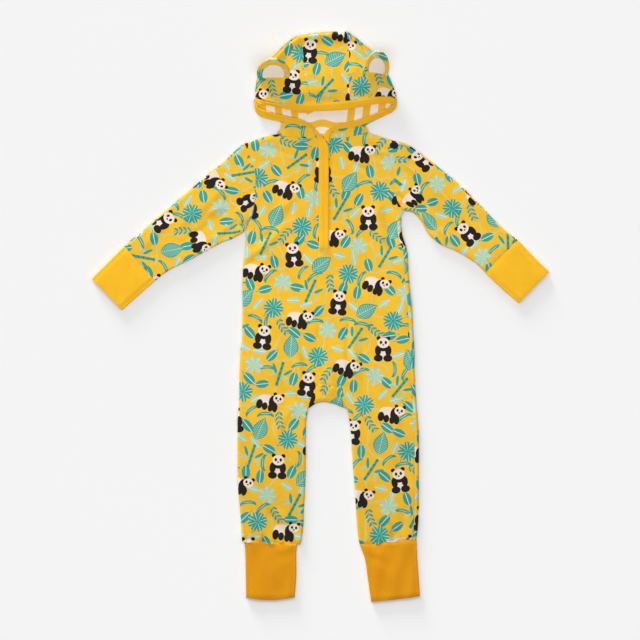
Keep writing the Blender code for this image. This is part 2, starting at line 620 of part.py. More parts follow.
def cuff_lift(rings):
    return np.full(rings.shape[:2], 0.25)


shell("sleeve_cuff_right", tube(SLEEVE_CUFF_RIGHT, 5, None, CUFF_WALL, cuff_lift), CUFF_WALL, RIB, ring=True)
shell("sleeve_cuff_left", tube(SLEEVE_CUFF_LEFT, 5, None, CUFF_WALL, cuff_lift), CUFF_WALL, RIB, ring=True)
shell("leg_cuff_right", tube(LEG_CUFF_RIGHT, 5, None, CUFF_WALL, cuff_lift), CUFF_WALL, LEG_RIB, ring=True)
shell("leg_cuff_left", tube(LEG_CUFF_LEFT, 5, None, CUFF_WALL, cuff_lift), CUFF_WALL, LEG_RIB, ring=True)

LIP = [(row[0], row[1]) for row in BINDING[18:30]]
THROAT_RIGHT = (
    [(-62, 310.6), (-41, 307.2), (-24, 300.2), (-12, 291), (-6, 286.6)],
    [(-65.5, 292), (-58, 287.6), (-38, 286.4), (-20, 284.9), (-8, 284.1)],
)
THROAT_LEFT = (
    [(74, 307.6), (58, 302.6), (38, 298.6), (25, 296), (17.6, 292.6)],
    [(76.5, 294), (58, 289), (34, 286), (26, 285.5), (17, 284.9)],
)
for name, rows, low, neck, throat, back_x, side in (
    ("right", HOOD_RIGHT, HOOD_RIGHT_LOW, HOOD_NECK_RIGHT, THROAT_RIGHT, CENTRE_BACK_RIGHT, -1),
    ("left", HOOD_LEFT, HOOD_LEFT_LOW, HOOD_NECK_LEFT, THROAT_LEFT, CENTRE_BACK_LEFT, 1),
):
    grid, keep = hood_side(rows, low, neck, LIP, throat, back_x, side)
    shell("hood_" + name, grid, WALL, PRINT, keep)
shell("hood_centre", hood_centre_grid(), WALL, PRINT)
shell("hood_lining", lining_grid(), LINING_WALL, STRIPE)
shell("binding", binding_grid(), BINDING_WALL, RIB)
for name, ear in (("right", EAR_RIGHT), ("left", EAR_LEFT)):
    shell("ear_" + name, ear_grid(ear), EAR_WALL, PRINT)
    shell("ear_inner_" + name, ear_grid(ear, 0.66, EAR_WALL / 2 + GAP + 0.6, 0.03), WALL, CREAM)
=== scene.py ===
# %% [markdown]
# # A toddler's hooded one-piece with ears
# The suit is cut from printed cotton interlock and lies on its back, pressed by hand and a
# little creased. Each panel is one sheet of cloth here: a grid worked out from a short table
# of stations, so the outline can be read and changed, and the folds are heights added to it.

# %% Frame
import math
import bpy
import numpy as np
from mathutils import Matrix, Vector


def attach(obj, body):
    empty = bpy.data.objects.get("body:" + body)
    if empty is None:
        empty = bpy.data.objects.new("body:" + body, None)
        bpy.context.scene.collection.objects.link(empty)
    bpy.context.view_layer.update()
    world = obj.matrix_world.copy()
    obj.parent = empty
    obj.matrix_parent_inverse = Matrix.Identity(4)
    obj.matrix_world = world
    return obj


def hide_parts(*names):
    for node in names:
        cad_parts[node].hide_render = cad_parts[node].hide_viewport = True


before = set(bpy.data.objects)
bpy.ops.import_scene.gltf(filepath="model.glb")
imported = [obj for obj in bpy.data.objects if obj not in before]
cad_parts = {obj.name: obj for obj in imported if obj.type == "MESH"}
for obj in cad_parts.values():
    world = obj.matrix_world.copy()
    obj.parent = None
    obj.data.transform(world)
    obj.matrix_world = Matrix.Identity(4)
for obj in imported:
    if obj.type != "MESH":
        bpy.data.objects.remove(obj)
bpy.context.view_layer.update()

# %% [markdown]
# ## Sizes
# A maker works in millimetres, so the tables do too, and the mesh is brought to metres at the
# end. The knit is 1.2 mm thick, and a fold that is pressed but not ironed has a radius of
# about 1.6 mm, which puts the front layer 3.2 mm above the back one.

# %% Sizes
WALL = 1.2
BINDING_WALL = 2.2
CUFF_WALL = 2.0
LINING_WALL = 1.0
EAR_WALL = 2.6
FOLD = 1.6
GAP = 0.08              # the width of a sewn seam line
BACK_Z = WALL / 2
FOLD_Z = BACK_Z + FOLD
FRONT_Z = BACK_Z + 2 * FOLD
LOFT = 1.3
HOOD_LOFT = 13.0
CENTRE_X, CENTRE_Y = 1.0, -1.1
GATHERS = 6
SIDE_TURN = math.pi / 2 - GAP / FOLD
FINE = 6                  # rows of cloth for each station of a table
print("front layer at", FRONT_Z, "mm, turn at a side", round(SIDE_TURN, 3))

# %% [markdown]
# ## Stations
# The body is cut in a right and a left half. A station down the body gives the armhole or side
# on the outside and the centre seam, crotch or inseam on the inside. Sleeves, cuffs and hood
# panels have stations of their own, and the wearer's right is at lower x.

# %% Stations of the body
RIGHT = [
    (-120, 275, -1, 283), (-113, 259, -1, 266), (-107, 243, -1, 246), (-103, 224, -1, 227),
    (-102, 202, -1, 205), (-104, 179, -1, 182), (-108, 160, -1, 163), (-116, 142, -1, 144),
    (-117, 122, -1, 122), (-119, 102, -3, 102), (-122, 80, -4, 80), (-123, 42, -4, 42),
    (-123, 2, -4, 2), (-124, -38, -4, -35), (-127, -70, -4, -67), (-128, -96, -3, -90),
    (-128, -118, -1, -108), (-128, -131, -8, -117), (-129, -144, -13, -131),
    (-130, -155, -18, -147), (-131, -170, -22, -166), (-131, -198, -23, -197),
    (-131, -238, -23, -238), (-130, -278, -24, -280), (-127, -310, -26, -314),
    (-125, -336, -27, -341), (-125, -359, -30, -365),
]
LEFT = [
    (128, 277, -1, 283), (123, 259, -1, 266), (119, 240, -1, 246), (119, 221, -1, 227),
    (120, 202, -1, 208), (124, 184, -1, 189), (134, 167, -1, 170), (130, 150, -1, 150),
    (132, 128, -1, 122), (139, 106, -3, 102), (141, 83, -4, 80), (143, 51, -4, 48),
    (147, 16, -4, 12), (149, -22, -4, -26), (151, -58, -4, -67), (151, -84, -3, -90),
    (152, -100, -1, -108), (152, -112, 14, -111), (153, -124, 28, -113),
    (154, -136, 36, -121), (155, -148, 41, -133), (156, -160, 44, -147),
    (157, -173, 48, -166), (158, -198, 51, -195), (158, -234, 53, -232),
    (158, -269, 56, -269), (158, -301, 58, -302), (157, -330, 60, -333),
    (155, -357, 63, -366),
]
RIGHT_UNDERARM, RIGHT_CROTCH = 7, 19
LEFT_UNDERARM, LEFT_CROTCH = 6, 21
NECK_RIGHT = [(-1, 283), (-20, 284), (-38, 285.5), (-58, 286.5), (-66, 291)]
NECK_LEFT = [(-1, 283), (18, 284), (34, 285), (58, 288), (77, 293)]
SHOULDER_RIGHT = [(-66, 291), (-92, 285), (-120, 275)]
SHOULDER_LEFT = [(77, 293), (101, 284.5), (128, 277)]
BACK_NECK_Y = 297
GUSSET_FOLD = [(-18, -147), (-8, -140), (1, -137), (10, -137), (24, -140), (36, -145), (44, -148)]
SIDE_INSET = 4.5          # the left side seam lies this far in on the front

# %% Stations of the sleeves and cuffs
SLEEVE_RIGHT = [
    (-121, 275.5, -118, 143), (-134, 265, -122, 135), (-153, 246, -130, 129),
    (-179, 226, -142, 123), (-201, 206, -158, 117), (-224, 187, -177, 107),
    (-243, 170, -197, 96), (-267, 150, -218, 85), (-289, 131, -242, 73), (-312, 111, -264, 57),
]
SLEEVE_LEFT = [
    (129, 277.5, 136, 168), (144, 271, 145, 167), (160, 260, 153, 163), (184, 242, 164, 150),
    (205, 225, 174, 132), (221, 212, 186, 120), (236, 197, 201, 111), (257, 176, 218, 104),
    (278, 154, 237, 93), (297, 136, 252, 83), (316, 121, 265, 70),
]
SLEEVE_CUFF_RIGHT = [(-312.4, 110.7, -264.4, 56.7), (-338, 85, -291, 33), (-364, 59, -317, 10)]
SLEEVE_CUFF_LEFT = [(316.3, 120.7, 265.3, 69.7), (341, 95, 291, 45), (366, 70, 319, 21)]
LEG_CUFF_RIGHT = [
    (-120, -359.8, -37, -365.1), (-118.4, -372, -38.5, -380), (-117.6, -412, -38.5, -415),
    (-117, -450.5, -41, -450),
]
LEG_CUFF_LEFT = [
    (154, -357.6, 65, -366.3), (154.8, -384, 73, -387), (157, -416, 77.8, -420),
    (159.3, -448, 83, -457),
]
HEM_BOW = {"leg_cuff_right": 4.0, "leg_cuff_left": 0.8}

# %% Stations of the hood
HOOD_RIGHT = [
    (-37, 446, -34.6, 447), (-49, 438, -31, 440), (-60, 428, -28, 430), (-71, 417, -26, 417),
    (-84, 405, -26, 403), (-94, 392, -25, 391), (-99, 378, -22, 379), (-101, 364, -17, 365),
    (-102.6, 350, -15, 342),
]
HOOD_LEFT = [
    (45, 452, 42.6, 453), (54, 446, 44, 446), (66, 436, 45, 434), (81, 424, 47, 421),
    (95, 408, 47, 407), (105, 391, 47, 392), (111, 378, 47, 378), (117, 363, 47, 363),
    (120.6, 351, 49, 344),
]
HOOD_RIGHT_LOW = [(-102.5, 336), (-99, 327), (-88, 318)]
HOOD_LEFT_LOW = [(121, 338), (116, 328), (98, 319)]
HOOD_NECK_RIGHT = [(-62, 311.6), (-60, 301), (-66, 291.6)]
HOOD_NECK_LEFT = [(74, 307), (72, 301), (77, 293.6)]
CROWN = [(-34, 448), (-15, 451), (6, 453.5), (26, 454.5), (42, 454)]
CENTRE_BACK_RIGHT, CENTRE_BACK_LEFT = -30, 38
THROAT_RIGHT = (
    [(-62, 312.4), (-48, 311), (-33, 308.8), (-15, 302), (-6.4, 292.4), (-2.4, 286.4)],
    [(-65.8, 291.3), (-58, 286.7), (-38, 285.7), (-20, 284.2), (-3, 283.3)],
)
THROAT_LEFT = (
    [(74, 309), (57, 304.4), (38, 301.6), (26, 299.2), (16.8, 294.4)],
    [(76.8, 293.3), (58, 288.2), (34, 285.2), (26, 284.7), (14.2, 284)],
)
# Binding: (seam edge x, y, z, free edge x, y, z); height 0 is on the layer below.
BINDING = [
    (-0.5, 109, 0, 14.5, 109, 0), (-0.5, 130, 0, 14.5, 130, 0), (-0.5, 155, 0, 14.5, 155, 0),
    (-0.5, 180, 0, 14.5, 180, 0), (-0.5, 205, 0, 14.5, 205, 0), (-0.5, 230, 0, 14.5, 230, 0),
    (-0.5, 252, 0, 14.5, 252, 0), (-0.7, 269, 0, 14.4, 269, 0), (-2.2, 282, 7.4, 9.2, 280, 7.3),
    (-7, 292, 7.4, 2.2, 288.6, 7.8), (-15, 301, 7.2, -8, 300, 8.4), (-33, 307.5, 6.8, -28, 313.5, 9),
    (-55, 310.5, 6.2, -49, 318.5, 9), (-79, 314.5, 4.6, -71, 323.5, 9), (-94, 319.5, 3.9, -87, 328.5, 9),
    (-101.5, 327, 4.5, -97, 332.5, 7.3), (-103.4, 337, 5.5, -99, 336, 6.4),
    (-102.4, 345.4, 5.8, -96.5, 337.2, 6.4), (-98, 346.4, 0, -89, 337, 0), (-88, 342.6, 0, -80, 336, 0),
    (-73, 340, 0, -66, 333.5, 0), (-54, 338.6, 0, -49, 329.5, 0), (-28, 338, 0, -29, 327.4, 0),
    (-6, 338.8, 0, -6, 327.2, 0), (15, 340.6, 0, 15, 327.6, 0), (38, 342.4, 0, 37, 329, 0),
    (60, 345.6, 0, 55, 331.8, 0), (81, 349, 0, 73, 335.8, 0), (100, 350.4, 0, 92, 338.8, 0),
    (113, 350, 0, 105, 339.5, 0), (120.5, 345, 4.8, 113, 339.5, 9.6),
    (121.8, 337.5, 3.8, 116.5, 337.5, 9.6), (118, 329, 3.6, 112, 333, 9.2),
    (109, 323.5, 4.0, 102, 329, 9), (92, 316, 4.8, 83, 321.5, 9), (74, 308.5, 6.2, 67, 315.5, 8.8),
    (56, 303.5, 6.6, 52, 311, 8.2), (38, 301, 6.6, 36, 307, 7.4), (26, 298.8, 6.5, 23, 302.8, 6.6),
    (18, 294.5, 6.4, 12, 297.6, 5.4), (14.6, 285, 6.5, 6.4, 288.5, 5.6),
    (15.2, 277, 6.7, 7.5, 281.5, 6.5),
]
# Lining in the opening: (lower x, lower y, upper x, upper y, extra z).
LINING = [
    (-97.5, 334, -97.5, 341, -2.4), (-91, 324, -91, 348, -2.4), (-78, 320, -78, 351, -0.9),
    (-60, 315, -60, 352, 0.2), (-40, 309, -40, 352, 0), (-23, 302, -23, 352, 0.1),
    (-8, 293, -9, 352, 0.5), (5, 287, 4, 352, 0), (20, 295, 19, 352, 0.3),
    (38, 300, 36, 352, 0), (56, 304, 55, 352, 0), (74, 310, 75, 352, 0.3),
    (92, 319, 93, 352, -0.4), (107, 328, 107, 349, -1.8), (114.5, 334, 114.5, 342, -2.2),
]
# Ear outline up the ear: (height, half width), as parts of the whole.
EAR_ROWS = [(0, 0.94), (0.22, 1.0), (0.45, 0.97), (0.66, 0.87), (0.83, 0.68), (0.94, 0.46), (1, 0.26)]
# Ears: (base x, base y, turn, half width, height, lean back).
EAR_RIGHT = (-74, 381.5, 0.0, 26.5, 37, 42)
EAR_LEFT = (90.5, 388, -7.0, 19.5, 37, 24)
print(len(RIGHT) + len(LEFT), "stations down the body,", len(BINDING), "round the binding")

# %% [markdown]
# ## Lines
# Stations are far apart, so the edges between them follow a smooth cubic through four
# neighbours. The other helpers measure how far a point of the cloth is from a seam or a fold,
# because every crease, groove and pucker fades with that distance.

# %% Lines and distances
def along(table, t):
    """Rows of a table at any station t: b + f(c - a)/2 + ..., the cubic through a, b, c, d."""
    table = np.asarray(table, float)
    last = len(table) - 1
    k = np.clip(np.floor(t).astype(int), 0, last - 1)
    f = (t - k)[..., None]
    a, b, c, d = (table[np.clip(k + j, 0, last)] for j in (-1, 0, 1, 2))
    return b + f / 2 * (c - a + f * (2 * a - 5 * b + 4 * c - d + f * (3 * (b - c) + d - a)))


def run_length(points):
    """Length along a row of points, from the first to each of them."""
    return np.concatenate([[0], np.cumsum(np.linalg.norm(np.diff(points, axis=0), axis=1))])


def polyline(points, fractions):
    """Points at the given fractions of a polyline's length."""
    points = np.asarray(points, float)
    steps = np.linalg.norm(np.diff(points, axis=0), axis=1)
    run = np.concatenate([[0], np.cumsum(steps)]) / steps.sum()
    return np.stack([np.interp(fractions, run, points[:, k]) for k in range(2)], axis=-1)


def nearest(x, y, line):
    """Distance in plan to a polyline, and the length along it to the nearest point."""
    best, spot, start = np.full(np.shape(x), 1e9), np.zeros(np.shape(x)), 0.0
    for (x0, y0), (x1, y1) in zip(line[:-1], line[1:]):
        run, rise = x1 - x0, y1 - y0
        length = max(math.hypot(run, rise), 1e-6)
        share = np.clip(((x - x0) * run + (y - y0) * rise) / length**2, 0, 1)
        off = np.hypot(x - x0 - share * run, y - y0 - share * rise)
        spot = np.where(off < best, start + share * length, spot)
        best = np.minimum(best, off)
        start += length
    return best, spot


def ease(value):
    """0 below 0, 1 above 1, and 3v^2 - 2v^3 between."""
    value = np.clip(value, 0, 1)
    return value * value * (3 - 2 * value)


def outer(table, first=0, last=None):
    return [(row[0], row[1]) for row in table[first:last]]


def inner(table, first=0, last=None):
    return [(row[2], row[3]) for row in table[first:last]]


def normals(points, side):
    """Unit normals in plan of a row of points: the run turned a quarter, times the side."""
    run = np.gradient(points, axis=0)
    turned = np.stack([run[..., 1], -run[..., 0]], axis=-1) * side
    return turned / np.maximum(np.linalg.norm(turned, axis=-1, keepdims=True), 1e-9)


def hem_line(x):
    """How far a gathered ankle hem wanders up and down: two sines that don't line up."""
    return 1.3 * np.sin(x / 5.3 + 1) + 0.9 * np.sin(x / 9.1)


def stations(count):
    """Fine rows between the first and the last of so many stations."""
    return np.linspace(0, count - 1, (count - 1) * FINE + 1)


print("halfway between the first two stations:", along(RIGHT, np.array([0.5])).round(1).tolist())

# %% [markdown]
# ## Folds, seams and puckers
# A suit laid down by hand is not flat. The cloth stands off the layer below by a millimetre or
# two, it drags from the underarms and the crotch, and it bunches where the wide leg is sewn to
# a narrow cuff. Every seam sinks a little and the cloth beside it puckers. All of these are
# heights in millimetres added to one front layer, so neighbours meet at the same height.

# %% Height of the front layer
FOLD_LINES = [
    SHOULDER_RIGHT + outer(SLEEVE_RIGHT),
    SHOULDER_LEFT + outer(SLEEVE_LEFT),
    inner(SLEEVE_RIGHT)[::-1] + outer(RIGHT, RIGHT_UNDERARM),
    inner(SLEEVE_LEFT)[::-1] + outer(LEFT, LEFT_UNDERARM),
    inner(RIGHT, RIGHT_CROTCH)[::-1] + GUSSET_FOLD + inner(LEFT, LEFT_CROTCH),
    HOOD_NECK_RIGHT,
    HOOD_NECK_LEFT,
]
FOLD_SHARP = (3.5, 3.5, 5.5, 5.5, 5.5, 1, 1)    # steepness: shoulders, sides and crotch, hood's neck
SEAMS = [
    inner(RIGHT, 8, 17),
    inner(RIGHT, 16, 20),
    inner(LEFT, 16, 22),
    outer(RIGHT, 0, RIGHT_UNDERARM + 1),
    outer(LEFT, 0, LEFT_UNDERARM + 1),
    NECK_RIGHT,
    NECK_LEFT,
    [(x - SIDE_INSET - FOLD, y) for x, y in outer(LEFT, LEFT_UNDERARM + 1)],
]
HEMS = [
    [SLEEVE_RIGHT[-1][:2], SLEEVE_RIGHT[-1][2:]],
    [SLEEVE_LEFT[-1][:2], SLEEVE_LEFT[-1][2:]],
    [RIGHT[-1][:2], RIGHT[-1][2:]],
    [LEFT[-1][:2], LEFT[-1][2:]],
]
LEAN = 0.35               # how much wider one side of a crease is than the other
# Creases: (x, y, x, y, bow, half width, height).
CREASES = [
    (-113, 94, -56, 148, -4, 5.5, 1.7), (-104, 113, -38, 181, -5, 5.0, -1.1),
    (-70, 164, -36, 192, 0, 4.5, 1.1), (-118, 84, -90, 96, 1, 4.0, -1.2),
    (-92, 94, -84, 66, 2, 6.0, 1.2),
    (-126, 152, -112, 136, 1, 4.0, -1.6), (-178, 157, -148, 165, 2, 3.4, -1.6),
    (-176, 166, -146, 173, 2, 4.5, 1.2), (-133, 172, -120, 148, 3, 5.5, 1.5),
    (140, 236, 174, 166, 4, 3.4, -2.3), (148, 240, 186, 170, 4, 5.5, 1.9),
    (130, 218, 152, 176, 3, 5.0, 1.7), (158, 150, 182, 134, 2, 4.5, -1.7),
    (196, 136, 246, 92, -2, 6.0, 1.5), (186, 196, 226, 146, 2, 6.0, -0.8),
    (122, 196, 142, 178, 1, 4.0, -1.8), (102, 172, 121, 124, -3, 3.4, -2.1),
    (90, 176, 110, 118, -4, 5.5, 1.6), (118, 168, 130, 128, 2, 4.5, 1.5),
    (104, 150, 120, 66, -2, 5.0, -1.0), (-96, 184, -30, 212, 4, 5.0, -0.7),
    (64, 274, 108, 267, 1, 3.0, -2.0), (62, 266, 110, 259, 1, 4.5, 1.5),
    (34, 262, 78, 233, -3, 3.5, -1.3), (40, 266, 84, 240, -3, 5.0, 1.1),
    (-90, 276, -52, 262, -2, 4.0, -1.0), (19, 270, 18, 112, 0, 2.6, -0.5),
    (-6, 262, -6, 112, 0, 2.6, -0.7), (-148, 216, -232, 140, 5, 9.0, 1.4),
    (-140, 190, -222, 116, 6, 6.0, -1.0), (-132, 160, -196, 108, 4, 5.0, 0.9),
    (-238, 150, -286, 104, -3, 7.0, 0.9), (212, 186, 262, 128, -4, 7.0, 1.0),
    (-28, -66, -20, -120, 2, 3.5, -1.9), (-39, -40, -32, -118, 2, 5.5, 1.6),
    (-16, -60, -4, -124, 1, 4.0, -1.3), (45, -6, 46, -108, -2, 3.5, -1.6),
    (55, 2, 58, -104, -2, 5.0, 1.5), (68, -20, 70, -118, -2, 4.0, -1.3),
    (18, -84, 20, -128, 1, 6.0, 1.6), (8, -50, 14, -108, 1, 4.0, 0.9),
    (-40, -140, -70, -200, -3, 6.0, 0.9), (62, -138, 92, -204, 3, 6.0, 1.0),
    (-90, 40, -60, -60, 8, 12.0, 1.1), (88, 60, 70, -50, -7, 12.0, 1.1),
    (-100, -150, -88, -262, 6, 10.0, 1.1), (128, -150, 118, -262, -6, 10.0, 1.1),
    (20, 60, 60, 20, 3, 8.0, 0.8), (-70, -96, -52, -190, 4, 7.0, -1.0),
    (-82, -312, -57, -354, 2, 4.0, -1.5), (-70, -308, -46, -350, 2, 5.0, 1.3),
    (-108, -322, -92, -356, 1, 5.0, 1.1), (-50, -320, -36, -352, 1, 4.0, -1.0),
    (92, -330, 115, -360, 1, 4.0, -1.5), (134, -330, 114, -358, 1, 4.0, -0.9),
    (106, -316, 112, -350, 1, 5.5, 1.2), (76, -326, 90, -356, 1, 5.0, 1.0),
    (140, -318, 146, -352, 1, 4.5, 0.7),
]


def crease(x, y, row):
    """One crease: height exp(-(d / half)^2), faded at both ends, about a bowed line. It leans:
    the side towards the shoulders is the wider one on a ridge and the narrower in a trough."""
    x0, y0, x1, y1, bow, half, height = row
    run, rise = x1 - x0, y1 - y0
    length = math.hypot(run, rise)
    s = ((x - x0) * run + (y - y0) * rise) / length**2
    d = ((y - y0) * run - (x - x0) * rise) / length - bow * np.sin(np.pi * np.clip(s, 0, 1))
    uphill = math.copysign(LEAN, height) * math.copysign(1, run + 0.4 * rise)
    half = half * (1 + uphill * np.tanh(d / half))
    fade = ease(s / 0.3 + 0.35) * ease((1 - s) / 0.4 + 0.35)
    return height * np.exp(-((d / half) ** 2)) * fade


def seam_relief(x, y, lines, depth=0.35, pucker=0.2, wide=1.3):
    """A groove, depth * exp(-(off / wide)^2), along each seam, and puckers 8 mm apart beside it."""
    total = np.zeros(np.shape(x))
    for line in lines:
        off, run = nearest(x, y, line)
        wave = np.sin(2 * np.pi * run / 8 + 1.6 * np.sin(run / 11))
        total += pucker * wave * np.exp(-off / 4.5) - depth * np.exp(-((off / wide) ** 2))
    return total


def wander(x, y):
    """Soft unevenness of washed cloth: three long waves that don't line up."""
    return (
        0.34 * np.sin(x / 19 + 1.3 * np.sin(y / 31))
        + 0.28 * np.sin(y / 15 - 1.1 * np.sin(x / 23) + 1)
        + 0.16 * np.sin((x + y) / 8.5 + 2 * np.sin(y / 20))
    )


def front_z(x, y):
    """Height of the front layer: the flat, its loft, creases, ankle gathers and seams."""
    clear = np.min([nearest(x, y, line)[0] * k for line, k in zip(FOLD_LINES, FOLD_SHARP)], axis=0)
    lift = LOFT + wander(x, y) + sum(crease(x, y, row) for row in CREASES)
    ankle = np.exp(-np.maximum(0, y + 362) / 13) * (y < -250)
    middle = np.where(x < 0, -78, 109)
    wave = np.cos(2 * np.pi * GATHERS * (x - middle) / 95 + 0.8 * np.sin(x / 9))
    lift = lift + ankle * (0.8 + 0.7 * wave)
    hems = seam_relief(x, y, HEMS[:2], 0.7, 0.15, 1.8) + seam_relief(x, y, HEMS[2:], 1.2, 0.06, 2.8)
    sewn = seam_relief(x, y, SEAMS) + hems * ease(clear / 5)
    return FRONT_Z + np.maximum(lift, -1.5) * ease(clear / 11) + sewn


print("front layer at mid chest", round(float(front_z(np.array(-60.0), np.array(150.0))), 2), "mm")

# %% [markdown]
# ## The hood's dome
# The hood is cut in three panels for a round head. Lying down it keeps some of its shape, so
# it rises in an even curve from its outline to the top, and folds in softly behind the lip of
# the face opening.

# %% Height of the hood
HOOD_OUTLINE = outer(HOOD_RIGHT)[::-1] + CROWN + outer(HOOD_LEFT)
HOOD_SEAMS = [inner(HOOD_RIGHT), inner(HOOD_LEFT)]
# Creases of the hood: (x, y, x, y, bow, half width, height).
HOOD_CREASES = [
    (-84, 354, -34, 344, -3, 5.0, -2.2), (-60, 372, -22, 356, -2, 6.0, 1.2),
    (-38, 342, 36, 343, 1, 7.0, -2.2), (-28, 358, 40, 360, 2, 6.0, 0.9),
    (48, 349, 112, 353, 1, 6.5, -2.0), (54, 366, 106, 372, 2, 6.0, 1.0),
    (60, 402, 84, 372, 3, 6.0, 0.9), (-56, 414, -38, 374, -4, 6.0, -2.0),
    (51, 428, 57, 386, 2, 7.0, 2.2), (50, 430, 76, 418, 2, 5.0, 1.3),
    (-8, 418, 22, 384, 3, 9.0, 0.8), (-44, 398, -30, 360, 2, 4.5, -1.1),
    (28, 404, 40, 366, 2, 5.0, -1.0), (-92, 392, -72, 366, 3, 5.0, 1.2),
    (-82, 394, -32, 434, 4, 8.0, -1.3), (-36, 437, 46, 437, 3, 8.0, -1.4),
]


def hood_z(x, y):
    """Height of the hood: its loft times 1 - exp(-c / 21), where c is the distance d in from the
    outline, softened to d^2 / (d + 2.5). At the crown the loft falls to 0.4 of itself, the 21
    to 0.5 and the 2.5 to 0.3, so that the cloth rises within 1 mm."""
    clear = np.maximum(nearest(x, y, HOOD_OUTLINE)[0] - FOLD, 0)
    crown = ease((y - 368) / 30)
    soft = clear**2 / (clear + 2.5 - 2.2 * crown)
    dip = 1.6 * np.exp(-(((x + 60) / 16) ** 2) - (((y - 346) / 9) ** 2))
    folds = sum(crease(x, y, row) for row in HOOD_CREASES) + 0.8 * wander(x, y) - dip
    loft = HOOD_LOFT * (1 - 0.66 * ease((y - 368) / 62) + 0.06 * ease((y - 434) / 12))
    dome = loft * (1 - np.exp(-soft / (21 - 20.5 * crown)))
    return FRONT_Z + dome + folds * ease(clear / 14) + seam_relief(x, y, HOOD_SEAMS)


print("top of the hood", round(float(hood_z(np.array(10.0), np.array(390.0))), 2), "mm")

# %% [markdown]
# ## From a grid to a piece of cloth
# A sheet could be a flat mesh with a Solidify modifier. Here the wall is worked out from the
# grid's own normals instead, so that it can be thinner at a turned edge. The same step writes a
# UV map that tells where each point was on the flat cloth, in tenths of a metre, because the
# print and the knit have to follow the cloth round a fold.

# %% Making a piece
def placed(name, data):
    """A new object of this mesh, lamp or camera, linked into the scene."""
    made = bpy.data.objects.new(name, data)
    bpy.context.scene.collection.objects.link(made)
    return made


def quads_of(m):
    """The four corners of every square of a grid of numbers."""
    return np.stack([m[:-1, :-1], m[1:, :-1], m[1:, 1:], m[:-1, 1:]], axis=-1)


def cloth(name, grid, flat, wall, finish, keep=None, ring=False, cut=None):
    """Closed solid of a sheet: grid + normal * wall / 2 outside, - wall / 2 inside."""
    rows, columns = grid.shape[:2]
    spots = np.arange(rows * columns).reshape(rows, columns)
    if ring:
        spots = np.concatenate([spots, spots[:, :1]], axis=1)
    places = np.arange(flat.shape[0] * flat.shape[1]).reshape(flat.shape[:2])
    quads, prints = quads_of(spots), quads_of(places)
    if cut is not None:
        prints = np.concatenate([quads_of(places[:, :cut + 1]), quads_of(places[:, cut + 1:])], axis=1)
    keep = np.ones(quads.shape[:2], bool) if keep is None else keep
    quads, prints = quads[keep], prints[keep]
    points = grid.reshape(-1, 3)
    a, b, c, d = (points[quads[:, k]] for k in range(4))
    cross = np.cross(c - a, d - b)
    normal = np.zeros_like(points)
    for k in range(4):
        np.add.at(normal, quads[:, k], cross)
    normal /= np.maximum(np.linalg.norm(normal, axis=1, keepdims=True), 1e-9)
    half = np.broadcast_to(wall, (rows, columns)).reshape(-1, 1) / 2
    both = np.concatenate([points + normal * half, points - normal * half])
    count = len(points)
    ends = np.concatenate([
        np.stack([quads[:, k], quads[:, k - 3], prints[:, k], prints[:, k - 3]], axis=1)
        for k in range(4)
    ])
    key = ends[:, :2].min(1) * count + ends[:, :2].max(1)
    _, back, seen = np.unique(key, return_inverse=True, return_counts=True)
    a, b, ua, ub = ends[seen[back] == 1].T
    rim = np.stack([b, a, a + count, b + count], axis=1)
    faces = np.concatenate([quads, quads[:, ::-1] + count, rim])
    maps = np.concatenate([prints, prints[:, ::-1], np.stack([ub, ua, ua, ub], axis=1)])
    used, faces = np.unique(faces.reshape(-1), return_inverse=True)
    faces = faces.reshape(-1, 4)
    both = (both[used] - (CENTRE_X, CENTRE_Y, 0)) / 1000
    if np.linalg.det(both[faces[:, :3]]).sum() < 0:
        faces, maps = faces[:, ::-1], maps[:, ::-1]
    mesh = bpy.data.meshes.new(name + "_cloth")
    mesh.from_pydata(both.tolist(), [], faces.tolist())
    layer = mesh.uv_layers.new(name="Cloth")
    layer.data.foreach_set("uv", (flat.reshape(-1, 2)[maps] / 100).astype(np.float32).reshape(-1))
    mesh.polygons.foreach_set("use_smooth", np.ones(len(faces), bool))
    mesh.set_sharp_from_angle(angle=math.radians(58))
    mesh.materials.append(finish)
    print(name, len(faces), "faces")
    return placed(name, mesh)


# How far the print is slid on each piece, across and along it, mm. The rest aren't slid.
PRINT_SHIFT = {
    "front_right": (0, -9), "front_left": (0, -9), "back_right": (37, 15), "back_left": (-37, 15),
    "gusset": (0, 9), "sleeve_right": (13, 21), "sleeve_left": (-13, 21),
    "hood_right": (19.8, 56.1), "hood_left": (11, 31), "hood_centre": (0, 7),
    "ear_right": (-53.5, 0.5), "ear_left": (-46, 6),
}
SHEETS = []


def sew(node_name, ending, grid, map_mm, wall, finish, **how):
    """One piece of cloth in place of the plain solid node_name, noted in SHEETS."""
    flat = map_mm + PRINT_SHIFT.get(node_name, (0, 0))
    SHEETS.append((cloth(f"{node_name}_{ending}", grid, flat, wall, finish, **how), node_name, map_mm))


print(len(PRINT_SHIFT), "pieces carry the print")

# %% [markdown]
# ## Writing a pattern in nodes
# A printed repeat is a few hundred small sums at each point of the cloth. Building them one
# node at a time by hand is slow to read, so a number in the shader is wrapped here in a small
# class: adding or comparing two of them makes the Math node that does it.

# %% Numbers in the shader
class Number:
    """A value that the material works out at each point: a socket with ordinary arithmetic."""

    tree = None

    def __init__(self, socket):
        self.socket = socket

    def __add__(self, other):
        return node("ShaderNodeMath", "ADD", self, other)

    def __sub__(self, other):
        return node("ShaderNodeMath", "SUBTRACT", self, other)

    def __mul__(self, other):
        return node("ShaderNodeMath", "MULTIPLY", self, other)

    def __lt__(self, other):
        return node("ShaderNodeMath", "LESS_THAN", self, other)

    def __gt__(self, other):
        return node("ShaderNodeMath", "GREATER_THAN", self, other)

    def math(self, operation, *others):
        return node("ShaderNodeMath", operation, self, *others)


